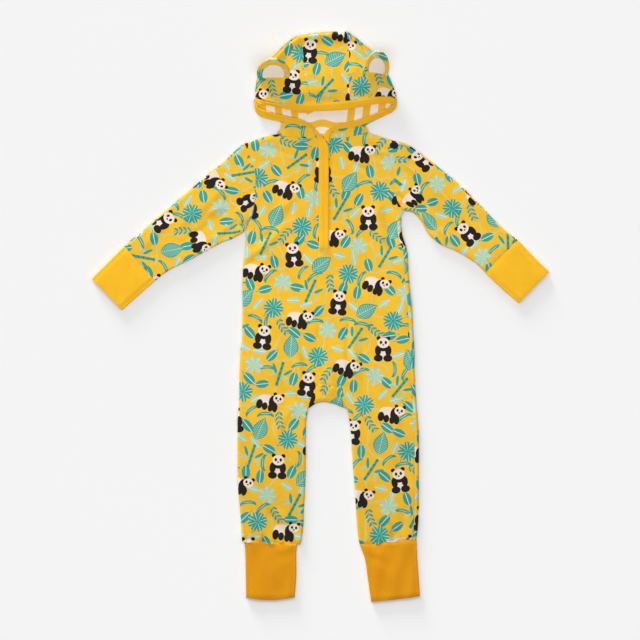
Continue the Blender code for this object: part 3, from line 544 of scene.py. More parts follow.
def node(kind, operation, *items, output=0):
    """A new node with these inputs: links for Numbers, and plain values otherwise."""
    made = Number.tree.nodes.new(kind)
    if operation:
        made.operation = operation
    for slot, item in zip(made.inputs, items):
        if isinstance(item, Number):
            Number.tree.links.new(item.socket, slot)
        elif item is not None:
            slot.default_value = item
    return Number(made.outputs[output])


def vector(operation, *items, output=0):
    return node("ShaderNodeVectorMath", operation, *items, output=output)


def turned(spot, angle):
    """The pattern turned by an angle about its own middle."""
    made = Number.tree.nodes.new("ShaderNodeVectorRotate")
    made.rotation_type = "Z_AXIS"
    Number.tree.links.new(spot.socket, made.inputs["Vector"])
    if isinstance(angle, Number):
        Number.tree.links.new(angle.socket, made.inputs["Angle"])
    else:
        made.inputs["Angle"].default_value = angle
    return Number(made.outputs[0])


def parts(spot):
    made = Number.tree.nodes.new("ShaderNodeSeparateXYZ")
    Number.tree.links.new(spot.socket, made.inputs[0])
    return [Number(out) for out in made.outputs]


def joined(x, y):
    return node("ShaderNodeCombineXYZ", None, x, y)


def oval(spot, x, y, across, up, ink=1.0):
    """The ink inside an ellipse, |(p - c) / r| < 1, and 0 outside it."""
    scaled = vector("MULTIPLY_ADD", spot, (1 / across, 1 / up, 0), (-x / across, -y / up, 0))
    inside = vector("LENGTH", scaled, output=1) < 1.0
    return inside * ink if ink != 1 else inside


def over(*inks):
    """Printed in order of their numbers: the highest ink at a point is the one that shows."""
    total = inks[0]
    for ink in inks[1:]:
        total = total.math("MAXIMUM", ink)
    return total


print("pattern helpers ready")

# %% [markdown]
# ## Motifs
# The print mixes bears and leaves in five inks on golden yellow. These are plain drawings made
# of ellipses and a few waves, in millimetres about their own middles. Inks are numbered in the
# order in which they are laid down, so a bear's cream face covers its black shoulders and the
# black eye patches cover the face.

# %% Inks
INKS = [
    (0.900, 0.512, 0.023),     # 0 ground, golden yellow
    (0.430, 0.640, 0.440),     # 1 mint
    (0.028, 0.350, 0.300),     # 2 teal
    (0.008, 0.120, 0.140),     # 3 deep teal
    (0.430, 0.640, 0.440),     # 4 mint again, for veins
    (0.880, 0.740, 0.640),     # 5 cream
    (0.012, 0.009, 0.008),     # 6 black
    (0.880, 0.740, 0.640),     # 7 cream again, for faces
    (0.012, 0.009, 0.008),     # 8 black again, for eyes
]
MINT, TEAL, DEEP, VEIN, CREAM, BLACK, FACE, EYE = range(1, 9)

# %% Motifs
def sitting_bear(p):
    """A panda from the front: a cream body under black limbs, a cream face over them."""
    x, y, _ = parts(p)
    q = joined(x.math("ABSOLUTE"), y)
    return over(
        oval(p, 0, -6, 10.5, 12, CREAM), oval(p, 0, 1.5, 11, 5.0, BLACK),
        oval(q, 8.2, -2.5, 5.0, 8.5, BLACK), oval(q, 7.6, -14.5, 7.2, 5.6, BLACK),
        oval(q, 7.8, 17.2, 3.4, 3.2, BLACK), oval(p, 0, 10, 9.6, 8.2, FACE),
        oval(q, 3.9, 10.6, 2.0, 2.7, EYE), oval(p, 0, 6.8, 1.6, 1.1, EYE),
    )


def walking_bear(p):
    """A panda from the side: black legs and shoulder, a cream back and face."""
    x, y, _ = parts(p)
    x, y = x + 2.0, y - 1.0
    p = joined(x, y)
    head = joined((x - 14.0).math("ABSOLUTE"), y)
    return over(
        oval(p, -3, 1, 15, 8.6, CREAM), oval(p, 6, 0, 6, 9.8, BLACK),
        oval(p, -14, -7.5, 5.2, 7.6, BLACK), oval(p, -5, -9.5, 4.6, 6.2, BLACK),
        oval(p, 4.5, -10, 4.4, 6.5, BLACK), oval(p, 11.5, -9, 4.2, 7.0, BLACK),
        oval(head, 6.2, 12.6, 3.0, 2.9, BLACK), oval(p, 14, 6, 8.2, 7.0, FACE),
        oval(head, 3.4, 6.6, 1.8, 2.3, EYE), oval(p, 14, 3, 1.5, 1.0, EYE),
    )


def veined_leaf(p):
    """A broad leaf, half width 12.2 sin(pi s^0.8), with mint veins aslant inside a teal rim."""
    x, y, _ = parts(p)
    side = y.math("ABSOLUTE")
    s = x.math("MULTIPLY_ADD", 1 / 38, 0.5).math("MAXIMUM", 0.0)
    half = (s.math("POWER", 0.8) * math.pi).math("SINE") * 12.2
    room = half - side
    vein = (x - side * 0.9).math("MULTIPLY", 1 / 3.6).math("FRACT") < 0.34
    line = (side < 0.55).math("MAXIMUM", vein)
    return over((room > 0.0) * TEAL, (room > 1.7) * line * VEIN)


def fan_leaf(p):
    """A palm fan, radius 8.6 + 8 |cos 4a|^0.6, with mint ribs, a dark edge and a stem."""
    x, y, _ = parts(p)
    angle = y.math("ARCTAN2", x)
    ray = (angle * 4.0).math("COSINE").math("ABSOLUTE")
    far = vector("LENGTH", p, output=1)
    edge = ray.math("POWER", 0.6) * 8.0 + 8.6 - far
    rib = (ray > 0.965) * (far > 2.0)
    blade = edge > 0.0
    return over(
        blade * TEAL, blade * rib * VEIN, blade * (edge < 0.7) * DEEP, oval(p, 0, -12, 0.9, 8, DEEP),
    )


def round_leaf(p):
    """A pale round leaf, radius 13.4 + 1.8 cos 7a, notched at its foot, with cream veins."""
    x, y, _ = parts(p)
    angle = y.math("ARCTAN2", x)
    edge = (angle * 7.0).math("COSINE") * 1.8 + 13.4 - vector("LENGTH", p, output=1)
    vein = (angle * 3.5).math("SINE").math("ABSOLUTE") < 0.14
    notch = (y + 4.0) + x.math("ABSOLUTE") * 2.6 > 0.0
    return over((edge > 0.0) * notch * MINT, (edge > 1.6) * notch * vein * CREAM)


def bamboo(p):
    """A jointed cane with slender leaves on both sides of it."""
    x, y, _ = parts(p)
    cane = (y.math("ABSOLUTE") < 2.3) * (x.math("ABSOLUTE") < 20.0)
    joint = (x * (1 / 8.5)).math("FRACT") < 0.13
    twig, other = turned(p, -0.6), turned(p, 0.75)
    return over(
        cane * TEAL, cane * joint * DEEP, oval(twig, 11, 5, 8.5, 2.4, TEAL),
        oval(other, -8, 6.5, 8.5, 2.2, MINT), oval(twig, -10, -6, 8.0, 2.2, MINT),
        oval(other, 12, -5, 8.0, 2.4, TEAL),
    )


def drop_leaf(p):
    """A small teal leaf with a cream midrib."""
    _, y, _ = parts(p)
    blade = oval(p, 0, 0, 10.4, 6.2)
    return over(blade * TEAL, blade * (y.math("ABSOLUTE") < 0.5) * CREAM, oval(p, -12, 0, 4, 0.5, TEAL))


def crescent(p):
    """A narrow bent leaf: one ellipse less another, with a pale edge."""
    blade = oval(p, 0, 0, 12.5, 6.5)
    other = vector("MULTIPLY_ADD", p, (1 / 12.5, 1 / 5.5, 0), (0, 0.76, 0))
    bent = blade * (vector("LENGTH", other, output=1) > 1.0)
    return over(bent * TEAL, oval(p, 0, 3.6, 8.0, 0.6, VEIN))


def pale_leaf(p):
    """A small mint leaf with a cream midrib."""
    _, y, _ = parts(p)
    blade = oval(p, 0, 0, 9.4, 4.5)
    return over(blade * MINT, blade * (y.math("ABSOLUTE") < 0.45) * CREAM)


def tendril(p):
    """A long thin mint stem, y = 5 sin(x / 8), with a small leaf at each end."""
    x, y, _ = parts(p)
    stem = ((y - (x * 0.125).math("SINE") * 5.0).math("ABSOLUTE") < 0.65) * (x.math("ABSOLUTE") < 21.0)
    near, far = turned(p, -0.5), turned(p, 0.25)
    return over(
        stem * MINT, oval(near, 20, -5, 5.0, 1.9, MINT), oval(far, 21, -8, 5.0, 1.9, MINT),
        oval(near, -21, 4, 5.0, 1.9, MINT), oval(far, -20, 0, 4.5, 1.7, MINT),
    )


def spray(p, reach=14.0, pitch=6.6):
    """A bent stem with paired leaflets, repeated by the remainder of x over the pitch."""
    x, y, _ = parts(p)
    y = y - x * x * 0.012 + 1.0
    within = x.math("ABSOLUTE") < reach
    side = y.math("ABSOLUTE")
    leaf = joined(x.math("FLOORED_MODULO", pitch) - pitch / 2, side - 3.3)
    blade = oval(turned(leaf, -0.7), 0, 0, 3.9, 1.6)
    return blade.math("MAXIMUM", side < 0.42) * within * TEAL


print("motifs: two bears, four large leaves, five small ones")

# %% [markdown]
# ## The repeat
# A printer steps motifs on a slanted lattice so that no rows show. Here the cloth is divided
# into 47 mm squares turned by 20 degrees. A large motif sits in the middle of each square and
# a small one at its corner. Fine tendrils and leaves stand on a closer lattice, turned by a
# further 45 degrees. Each motif is nudged and turned by noise that depends on its square
# alone, so it is the same on every run.

# %% The repeat
CELL = 47.0
SLANT = math.radians(20)


def scattered(cloth_mm, shift, cell, slant, nudge, grow, kinds, seed):
    """Motifs on a lattice: the square is floor(p / cell), the motif's spot is the rest of it."""
    spot = turned(cloth_mm, slant)
    spot = vector("MULTIPLY_ADD", spot, (1 / cell,) * 2 + (0,), (*shift, seed))
    square = vector("FLOOR", spot)
    within = vector("SUBTRACT", spot, square)
    noise = node("ShaderNodeTexWhiteNoise", None, square, output=1)
    within = vector("SUBTRACT", within, (0.5, 0.5, 0))
    within = vector("MULTIPLY_ADD", noise, (-nudge / cell, -nudge / cell, 0), within)
    size = (cell / grow, cell / grow, 0)
    within = vector("MULTIPLY_ADD", within, size, (nudge / grow / 2, nudge / grow / 2, 0))
    column, row, _ = parts(square)
    kind = (column + row * 2.0).math("FLOORED_MODULO", float(len(kinds)))
    lean = parts(noise)[2] - 0.5
    total = None
    for number, (motif, angle, share) in enumerate(kinds):
        local = turned(within, lean.math("MULTIPLY_ADD", share, angle - slant))
        drawn = motif(local) * kind.math("COMPARE", float(number), 0.1)
        total = drawn if total is None else total + drawn
    return total


def repeat(cloth_mm):
    """All three scatters: the large motifs cover the small ones, and those the fine ones."""
    large = scattered(cloth_mm, (0, 0), CELL, SLANT, 4.0, 1.0, [
        (sitting_bear, 0.0, 0.35), (veined_leaf, -1.2, 1.6), (fan_leaf, 0.4, 1.4),
        (walking_bear, 0.25, 0.4), (round_leaf, 0.3, 1.5), (bamboo, -0.95, 0.7),
    ], 0.0)
    small = scattered(cloth_mm, (0.5, 0.5), CELL, SLANT, 4.0, 1.05, [
        (drop_leaf, 0.9, 3.0), (crescent, 0.2, 3.0), (spray, 1.3, 2.0),
        (drop_leaf, -0.9, 3.0), (pale_leaf, 0.4, 3.0),
    ], 7.0)
    fine = scattered(cloth_mm, (0, 0), CELL / math.sqrt(2), SLANT + math.pi / 4, 4.0, 1.10, [
        (tendril, 0.6, 1.2), (drop_leaf, 2.0, 3.0), (pale_leaf, 2.0, 3.0),
        (crescent, -0.7, 2.0), (tendril, -0.9, 1.2),
    ], 13.0)
    return small.math("MULTIPLY_ADD", small > 0.5, fine * (small < 0.5)), large


def printed(cloth_mm):
    under, large = repeat(cloth_mm)
    return large + under * (large < 0.5)


print("one repeat is about", round(CELL * 6), "mm wide")

# %% [markdown]
# ## Knit
# Interlock shows fine upright ribs, about 12 to the centimetre, of loops that lean left and
# right in turn. A rib knit shows the same ribs further apart and deeper. Both are waves over
# the cloth's own map, fed to a Bump node and also painted into the colour as shade, a little
# lighter on the ribs and darker between them, with a little uneven dye and lint over them.

# %% Finishes
def material(name, settings):
    """A new material and its surface shader, with these inputs set."""
    made = bpy.data.materials.new(name)
    made.use_nodes = True
    Number.tree = made.node_tree
    shader = made.node_tree.nodes["Principled BSDF"]
    for key, value in settings.items():
        shader.inputs[key].default_value = value
    return made, shader


def fabric(name, pitch, depth, lint, colour):
    """A knit: colour(cloth_mm) gives its dye; ribs at the pitch and loops across them, in the bump and
    as painted shade in the dye.
    """
    made, shader = material(name, {
        "Roughness": 0.88, "Specular IOR Level": 0.25, "Sheen Weight": lint,
        "Sheen Roughness": 0.6, "Sheen Tint": (1, 0.93, 0.8, 1),
    })
    chart = made.node_tree.nodes.new("ShaderNodeUVMap")
    chart.uv_map = "Cloth"
    cloth_mm = vector("MULTIPLY", Number(chart.outputs[0]), (100, 100, 0))
    dye = colour(cloth_mm)
    mottle = node("ShaderNodeTexNoise", None, cloth_mm, None, 0.045, 3.0, 0.6)
    worn = mottle.math("MULTIPLY_ADD", 0.16, 0.92)
    x, y, _ = parts(cloth_mm)
    rib = (x * (2 * math.pi / pitch)).math("COSINE")
    loop = (y * (2 * math.pi / (pitch * 0.9)) + rib * 1.3).math("SINE")
    # Painted shade: the dye is a few percent lighter on the ribs and loops and darker between them, then
    # times the mottle.
    shade = (rib + loop * 0.6).math("MULTIPLY_ADD", 0.022, 1.0) * worn
    tinted = vector("SCALE", dye, None, None, shade)
    made.node_tree.links.new(tinted.socket, shader.inputs["Base Color"])
    height = rib * 0.6 + loop * 0.4
    bump = made.node_tree.nodes.new("ShaderNodeBump")
    bump.inputs["Strength"].default_value = 0.6
    bump.inputs["Distance"].default_value = depth / 1000
    made.node_tree.links.new(height.socket, bump.inputs["Height"])
    made.node_tree.links.new(bump.outputs[0], shader.inputs["Normal"])
    return made


def plain(colour):
    """A dye that is the same all over."""
    def dye(cloth_mm):
        return vector("MULTIPLY_ADD", cloth_mm, (0, 0, 0), colour)

    return dye


def inked(cloth_mm):
    """The print: the ink's number looked up in a ramp of flat colours."""
    ramp = Number.tree.nodes.new("ShaderNodeValToRGB")
    count = len(INKS)
    number = printed(cloth_mm).math("MULTIPLY_ADD", 1 / count, 0.5 / count)
    Number.tree.links.new(number.socket, ramp.inputs[0])
    ramp.color_ramp.interpolation = "CONSTANT"
    stops = ramp.color_ramp.elements
    while len(stops) < count:
        stops.new(0.5)
    for k, ink in enumerate(INKS):
        stops[k].position = k / count
        stops[k].color = (*ink, 1)
    return Number(ramp.outputs[0])


PRINT = fabric("print_knit_finish", 0.85, 0.10, 0.03, inked)
RIB = fabric("yellow_rib_finish", 1.2, 0.18, 0.03, plain((0.950, 0.505, 0.014)))
LEG_RIB = fabric("amber_rib_finish", 1.2, 0.18, 0.01, plain((0.870, 0.355, 0.002)))
CREAM_KNIT = fabric("cream_knit_finish", 0.85, 0.12, 0.05, plain((0.95, 0.83, 0.70)))
print("print has", len(PRINT.node_tree.nodes), "nodes")

# %% [markdown]
# ## Body panels
# Each half of the body has a front and a back panel. Rows follow the stations down the body and
# columns go from the centre to the side. At a side or an inseam the two layers are one fold
# split by a seam: the cloth rolls a quarter turn over the fold's radius and stops at the seam.
# On the left the seam was sewn further in, so the back panel wraps round onto the front.

# %% Body panels
EDGE = np.array([0, 0.35, 0.75, 1.2, 1.7, 2.3, 3.2])
WRAP = np.concatenate([[0, 1.2, 2.6, 3.6], SIDE_INSET + math.pi * FOLD * np.linspace(0, 1, 9), [10.6]])
TOP = np.array([0, 0.5, 1.0, 1.5, 2.1])
BODY_COLUMNS = 44
ROW = 28                  # length of one station down the body, mm
HEM_LAP = 1.6             # the front's hem laps the cuff, so that no gap shows


def rolled(e, turn, inset):
    """For a point e along the cloth from its edge: how far past the outline it is, folded and
    flat, and its height. past = -R + R sin a and height = R (cos a - 1), a = turn - e / R."""
    a = turn - (e - inset) / FOLD
    past = np.where(a > 0, -FOLD + FOLD * np.sin(a), -FOLD + FOLD * a)
    past = np.where(e < inset, -FOLD - inset + e, past)
    rise = FOLD * (np.cos(np.clip(a, 0, math.pi)) - 1)
    return past, -FOLD + FOLD * a, rise


def half_body(table, underarm, crotch, neck, shoulder, side, inset, front):
    """Grid and map of one body panel, P(t, u), from the centre seam out to the side."""
    t = stations(len(table))
    near, far = along(inner(table), t), along(outer(table), t)
    if not front:
        near[:, 1] += (BACK_NECK_Y - inner(table)[0][1]) * ease(1 - t / 3)
        top = [(inner(table)[0][0], BACK_NECK_Y)] + shoulder
        neck_steps = 1
    else:
        top = neck + shoulder[1:]
        neck_steps = len(neck) - 1
    near_out, far_out = normals(near, -side), normals(far, side)
    pinch = (2.0 * np.exp(-(t[-1] - t) * ROW / 8))[:, None]
    near, far = near - pinch * near_out, far - pinch * far_out
    near_fold, far_fold = ease(t - crotch)[:, None], ease(t - underarm)[:, None]
    past, level, rise = rolled(EDGE, SIDE_TURN, 0)
    seam = -GAP / 2 - EDGE
    near_past = seam * (1 - near_fold) + past * near_fold
    near_flat = seam * (1 - near_fold) + level * near_fold
    near_rise = rise * near_fold
    far_edge = EDGE
    if inset and not front:
        far_edge = WRAP
        past, level, rise = rolled(WRAP, math.pi, inset)
    elif inset:
        past = level = -FOLD - inset - GAP - EDGE
        rise = 0 * EDGE
    seam = -GAP / 2 - far_edge
    far_past = seam * (1 - far_fold) + past * far_fold
    far_flat = seam * (1 - far_fold) + level * far_fold
    far_rise = rise * far_fold
    share = np.linspace(0, 1, BODY_COLUMNS + 2)[1:-1][:, None]

    def spread(a, b):
        a = near[:, None] + near_out[:, None] * a[..., None]
        b = far[:, None] + far_out[:, None] * b[..., None]
        middle = a[:, -1:] * (1 - share) + b[:, -1:] * share
        return np.concatenate([a, middle, b[:, ::-1]], axis=1)

    plan, map_mm = spread(near_past, far_past), spread(near_flat, far_flat)
    rise = np.concatenate([near_rise, np.zeros((len(t), BODY_COLUMNS)), far_rise[:, ::-1]], axis=1)
    fractions = np.linalg.norm(plan[0] - plan[0, 0], axis=1)
    fractions = fractions / fractions[-1]
    target = polyline(top, fractions)
    target[0, 0] = plan[0, 0, 0]
    weight = np.interp(t, [0, 1, 2, 3, 4], [1.0, 0.72, 0.38, 0.12, 0])[:, None, None]
    shift = weight * (target - plan[0])
    plan, map_mm = plan + shift, map_mm + shift
    up = normals(plan[0], 1)
    up = up * np.sign(up[:, 1:2] + 1e-9)
    up[0] = (0, 1)
    up[-1] = (plan[0, -1] - plan[1, -1]) / np.linalg.norm(plan[0, -1] - plan[1, -1])
    steps = np.linalg.norm(np.diff(np.array(top, float), axis=0), axis=1)
    corner = steps[:neck_steps].sum() / steps.sum()
    folded = ease((fractions - corner) / 0.04 - 0.2)[None]
    past, level, fall = (v[:, None] for v in rolled(TOP, SIDE_TURN, 0))
    seam = -GAP / 2 - TOP[:, None]
    top_plan = plan[0] + (folded * past + (1 - folded) * seam)[..., None] * up
    top_map = map_mm[0] + (folded * level + (1 - folded) * seam)[..., None] * up
    plan = np.concatenate([top_plan, plan[1:]])
    map_mm = np.concatenate([top_map, map_mm[1:]])
    rise = np.concatenate([folded * fall, rise[1:]])
    hem = np.exp(-(t[-1] - t) * ROW / 9)[:, None]
    lap = HEM_LAP if front else 0.0
    body = plan[len(plan) - len(t):]
    body[..., 1] += hem * (hem_line(body[..., 0]) - lap)
    x, y = plan[..., 0], plan[..., 1]
    if front:
        z = front_z(x, y) + rise
    else:
        z = np.where(rise < -FOLD * 1.98, front_z(x, y), BACK_Z - rise)
        map_mm = map_mm * (-1, 1)
    return np.concatenate([plan, z[..., None]], axis=-1), map_mm


for name, table, underarm, crotch, neck, shoulder, side, inset in (
    ("right", RIGHT, RIGHT_UNDERARM, RIGHT_CROTCH, NECK_RIGHT, SHOULDER_RIGHT, 1, 0.0),
    ("left", LEFT, LEFT_UNDERARM, LEFT_CROTCH, NECK_LEFT, SHOULDER_LEFT, -1, SIDE_INSET),
):
    for layer in ("front", "back"):
        grid, map_mm = half_body(table, underarm, crotch, neck, shoulder, side, inset, layer == "front")
        sew(f"{layer}_{name}", "panel", grid, map_mm, WALL, PRINT)

# %% [markdown]
# ## Crotch gusset
# A shaped piece between the legs gives room for a nappy. It folds from the front over the
# crotch to the back, with its side seams running into the inseams.

# %% Gusset
def gusset(columns=28, downs=16):
    """Front rows from seam to seam, bent down to the crotch fold, round it and up the back."""
    share = np.linspace(0, 1, columns)[:, None]
    fold = polyline(GUSSET_FOLD, share[:, 0])
    out = normals(fold, 1)
    out = out * -np.sign(out[:, 1:2])
    start = fold - FOLD * out
    down = np.linspace(0, 1, downs)
    right = along(inner(RIGHT), 16 + 3 * down) + (GAP, 0)
    left = along(inner(LEFT), 17 + 4 * down) - (GAP, 0)
    plan = right[:, None] * (1 - share) + left[:, None] * share
    plan = plan + (down**1.5)[:, None, None] * (start - plan[-1])
    z = front_z(plan[..., 0], plan[..., 1])
    z[-1] = FRONT_Z
    angle = np.linspace(0, math.pi, 9)[1:-1, None]
    turn = np.concatenate([start + FOLD * np.sin(a) * out for a in angle]).reshape(-1, columns, 2)
    back = plan[::-1]
    plan_all = np.concatenate([plan, turn, back])
    z_all = np.concatenate([
        z, np.broadcast_to(FOLD_Z + FOLD * np.cos(angle), (len(angle), columns)),
        np.full(back.shape[:2], BACK_Z),
    ])
    lay = plan.copy()
    beyond = lay[-1] + out * (FOLD * angle)[..., None]
    under = lay[-1] * 2 + out * math.pi * FOLD - lay[::-1]
    map_mm = np.concatenate([lay, beyond, np.stack([lay[::-1][..., 0], under[..., 1]], axis=-1)])
    return np.concatenate([plan_all, z_all[..., None]], axis=-1), map_mm


sew("gusset", "panel", *gusset(), WALL, PRINT)
print("the gusset turns about a line", round(FOLD_Z, 2), "mm above the floor")

# %% [markdown]
# ## Sleeves and cuffs
# A sleeve is a tube pressed flat: across the front, round the under fold, back across and round
# the top fold, so it is one closed ring of columns at each station. The print runs up the
# sleeve. Cuffs are the same kind of tube in double rib, a little narrower than the sleeve end.

# %% Tubes
def tube(table, wall, columns, armhole=None, rucks=None, flip=1, hem_bow=None):
    """Grid and map of a flattened tube, P(t, ring)."""
    t = stations(len(table))
    top, under = along(outer(table), t), along(inner(table), t)
    low = wall / 2
    top_out, under_out = normals(top, 1), normals(under, 1)
    top_out *= np.sign((top_out * (top - under)).sum(1, keepdims=True))
    under_out *= np.sign((under_out * (under - top)).sum(1, keepdims=True))
    start, end = top - FOLD * top_out, under - FOLD * under_out
    share = np.linspace(0, 1, columns)
    flat = start[:, None] * (1 - share[:, None]) + end[:, None] * share[:, None]
    if armhole is not None:
        straight = top[0] * (1 - share[:, None]) + under[0] * share[:, None]
        follow = polyline(armhole, share) - straight
        flat = flat + (np.clip(1 - t / 5, 0, 1) ** 1.5)[:, None, None] * follow
    if hem_bow is not None:
        down = (t / t[-1])[:, None]
        flat[..., 1] += np.exp(-t * 35 / 9)[:, None] * hem_line(flat[..., 0])
        flat[..., 1] -= hem_bow * down**2 * np.sin(np.pi * share)
    x, y = flat[..., 0], flat[..., 1]
    over_z = front_z(x, y) if rucks is None else cuff_z(t[:, None], share, rucks)
    angle = np.linspace(0, math.pi, 9)[1:-1]
    sweep = (FOLD * np.sin(angle))[:, None]
    down = end[:, None] + sweep * under_out[:, None]
    rise = start[:, None] + sweep * top_out[:, None]
    full = np.ones((len(t), 1))
    plan = np.concatenate([flat, down, flat[:, ::-1], rise], axis=1)
    edge_lift = (over_z[:, -1:] - FRONT_Z, over_z[:, :1] - FRONT_Z)
    swing = np.cos(angle)
    fall = low + FOLD + FOLD * swing * full + edge_lift[0] * (0.5 + 0.5 * swing)
    climb = low + FOLD - FOLD * swing * full + edge_lift[1] * (0.5 - 0.5 * swing)
    z = np.concatenate([over_z, fall, full * np.full(columns, low), climb], axis=1)
    width = np.linalg.norm(start - end, axis=1)[:, None]
    arc = np.concatenate([
        width * share, width + FOLD * angle, width + math.pi * FOLD + width * share,
        2 * width + math.pi * FOLD + FOLD * angle, 2 * width + 2 * math.pi * FOLD,
    ], axis=1)
    middle = (start + end) / 2
    length = run_length(middle)
    axis = np.diff(middle[[0, -1]], axis=0)[0]
    lag = (flat - middle[:, None]) @ axis / np.linalg.norm(middle[-1] - middle[0])
    at_under = lag[:, -1:] * np.ones(len(angle))
    at_top = lag[:, :1] * np.ones(len(angle) + 1)
    lag = np.concatenate([lag, at_under, lag[:, ::-1], at_top], axis=1)
    map_mm = np.stack([flip * (arc - width / 2), -(length[:, None] + lag)], axis=-1)
    return np.concatenate([plan, z[..., None]], axis=-1), map_mm


ARMHOLE_RIGHT = [(x - GAP, y) for x, y in outer(RIGHT, 0, RIGHT_UNDERARM + 1)]
ARMHOLE_LEFT = [(x + GAP, y) for x, y in outer(LEFT, 0, LEFT_UNDERARM + 1)]
for name, table, armhole, flip in (
    ("sleeve_right", SLEEVE_RIGHT, ARMHOLE_RIGHT, 1), ("sleeve_left", SLEEVE_LEFT, ARMHOLE_LEFT, -1),
):
    sew(name, "tube", *tube(table, WALL, 60, armhole, flip=flip), WALL, PRINT, ring=True)


def cuff_z(t, share, rucks):
    """Double rib: ribs drawn in at the seam, a soft sag and slanting rucks between, a full hem."""
    edge = ease(share / 0.12) * ease((1 - share) / 0.12)
    down = t / t.max()
    hem = 0.5 * np.exp(-(((down - 0.94) / 0.05) ** 2))
    seam = -1.1 * np.exp(-down * 40) + hem - 0.5 * ease((down - 0.95) / 0.05)
    gather = 0.1 * np.sin(share * 58 + np.sin(share * 21)) * np.exp(-down * 6)
    sag = 0.45 * np.sin(share * 7 + 2.2 * down * math.pi) + 0.3 * np.sin(share * 15 - down * 8)
    ruck = 0.9 * np.exp(-(((down - 0.62 + 0.3 * share) / 0.07) ** 2)) * ease((share - 0.35) / 0.4)
    full = 1.2 - 0.5 * rucks
    rest = CUFF_WALL / 2 + 2 * FOLD + 0.25
    return rest + (full + gather + (sag - ruck) * rucks) * edge + seam * (0.4 + 0.6 * rucks)


for name, table, finish, rucks in (
    ("sleeve_cuff_right", SLEEVE_CUFF_RIGHT, RIB, 0.3),
    ("sleeve_cuff_left", SLEEVE_CUFF_LEFT, RIB, 0.3),
    ("leg_cuff_right", LEG_CUFF_RIGHT, LEG_RIB, 1.0),
    ("leg_cuff_left", LEG_CUFF_LEFT, LEG_RIB, 1.0),
):
    grid, map_mm = tube(table, CUFF_WALL, 64, rucks=rucks, hem_bow=HEM_BOW.get(name))
    sew(name, "rib", grid, map_mm, CUFF_WALL, finish, ring=True)

# %% [markdown]
# ## Hood
# Two side panels and a middle one, as a three-panel hood is cut. A side panel runs from its
# seam out to the outline, rolls under and comes back to the seam behind. Below the face opening
# only the back of it is left, until the throat, where the hood is sewn to the neck in front.

# %% Hood panels
ROLL = np.linspace(0, math.pi, 9)[1:-1]
LIP_FIRST, LIP_LAST = 18, 29      # rows of the binding that lie on the hood's lip
LIP = np.array([(row[0], row[1] + 0.45) for row in BINDING[LIP_FIRST:LIP_LAST + 1]])
HOOD_TURN = 104           # the print behind is laid out from this far to the side
NECK_SINK = {-1: 0.2, 1: 1.2}     # how far the neck lies below the strip that edges it
STAND = {
    side: np.array(sorted((row[0], row[2]) for row in rows)).T
    for side, rows in ((-1, BINDING[8:15]), (1, BINDING[33:]))
}


def hood_side(table, low, neck, throat, back_x, side, columns=34, behind=26):
    """Grid, map and kept faces of a side panel: seam, front, fold and back at each station."""
    outline = outer(table) + low + neck
    count, lip_row, throat_row = len(outline), len(table) - 1, len(outline) - len(neck)
    t = stations(count)
    edge = along(outline, t)
    out = normals(edge, side)
    start = edge - FOLD * out
    seam = along(inner(table), np.minimum(t, lip_row)) + (GAP / 2 * side, 0)
    share = 1 - (1 - np.linspace(0, 1, columns)) ** 1.25
    s = share[:, None]
    flat = seam[:, None] * (1 - s) + start[:, None] * s
    lip = np.interp(flat[..., 0], LIP[:, 0], LIP[:, 1])
    lip = lip * (1 - share**6) + start[:, None, 1] * share**6
    flat[..., 1] += np.clip(t - lip_row + 1, 0, 1)[:, None] * (lip - flat[..., 1])
    ratio = np.clip((t - throat_row) / (len(neck) - 1), 0, 1)[:, None, None]
    top, foot = (polyline(line, 1 - share) for line in throat)
    chest = top * (1 - ratio) + foot * ratio
    chest += (start[:, None] - chest[:, -1:]) * ease((s - 0.7) / 0.3)
    low_rows = (t > lip_row + 0.01)[:, None]
    flat = np.where(low_rows[..., None], chest, flat)
    x, y = flat[..., 0], flat[..., 1]
    z = np.where(low_rows, front_z(x, y), hood_z(x, y))
    stand = np.interp(x, *STAND[side]) - WALL / 2 - NECK_SINK[side] - z
    z = z + np.where(low_rows, (1 - ratio[..., 0]) ** 1.6 * np.maximum(stand, 0), 0)
    z = z + (FRONT_Z - z) * ease((s[:, 0] - 0.98) / 0.02)
    fold = edge[:, None] - FOLD * out[:, None] * (1 - np.sin(ROLL))[:, None]
    bottom = (t / (count - 1))[:, None]
    crown = np.array(table[0][2:])
    last = crown + (np.array([back_x, BACK_NECK_Y + GAP]) - crown) * bottom + (GAP / 2 * side, 0)
    b = np.linspace(0, 1, behind)[:, None]
    back = start[:, None] * (1 - b) + last[:, None] * b
    plan = np.concatenate([flat, fold, back], axis=1)
    z = np.concatenate([
        z, np.broadcast_to(FOLD_Z + FOLD * np.cos(ROLL), (len(t), len(ROLL))),
        np.full((len(t), behind), BACK_Z),
    ], axis=1)
    grid = np.concatenate([plan, z[..., None]], axis=-1)
    steps = np.linalg.norm(np.diff(grid, axis=1, prepend=grid[:, :1]), axis=-1)
    arc = np.cumsum(steps, axis=1)
    middle = columns + len(ROLL) // 2
    map_mm = np.stack([edge[:, :1] + side * (arc - arc[:, middle:middle + 1]), plan[..., 1]], axis=-1)
    cut = columns + len(ROLL)
    behind_mm = back * (-1, 1) + (2 * HOOD_TURN * side, 0)
    map_mm = np.concatenate([map_mm[:, :cut + 1], behind_mm], axis=1)
    keep = np.ones((len(t) - 1, plan.shape[1] - 1), bool)
    keep[lip_row * FINE:throat_row * FINE, :middle] = False
    return grid, map_mm, keep, cut


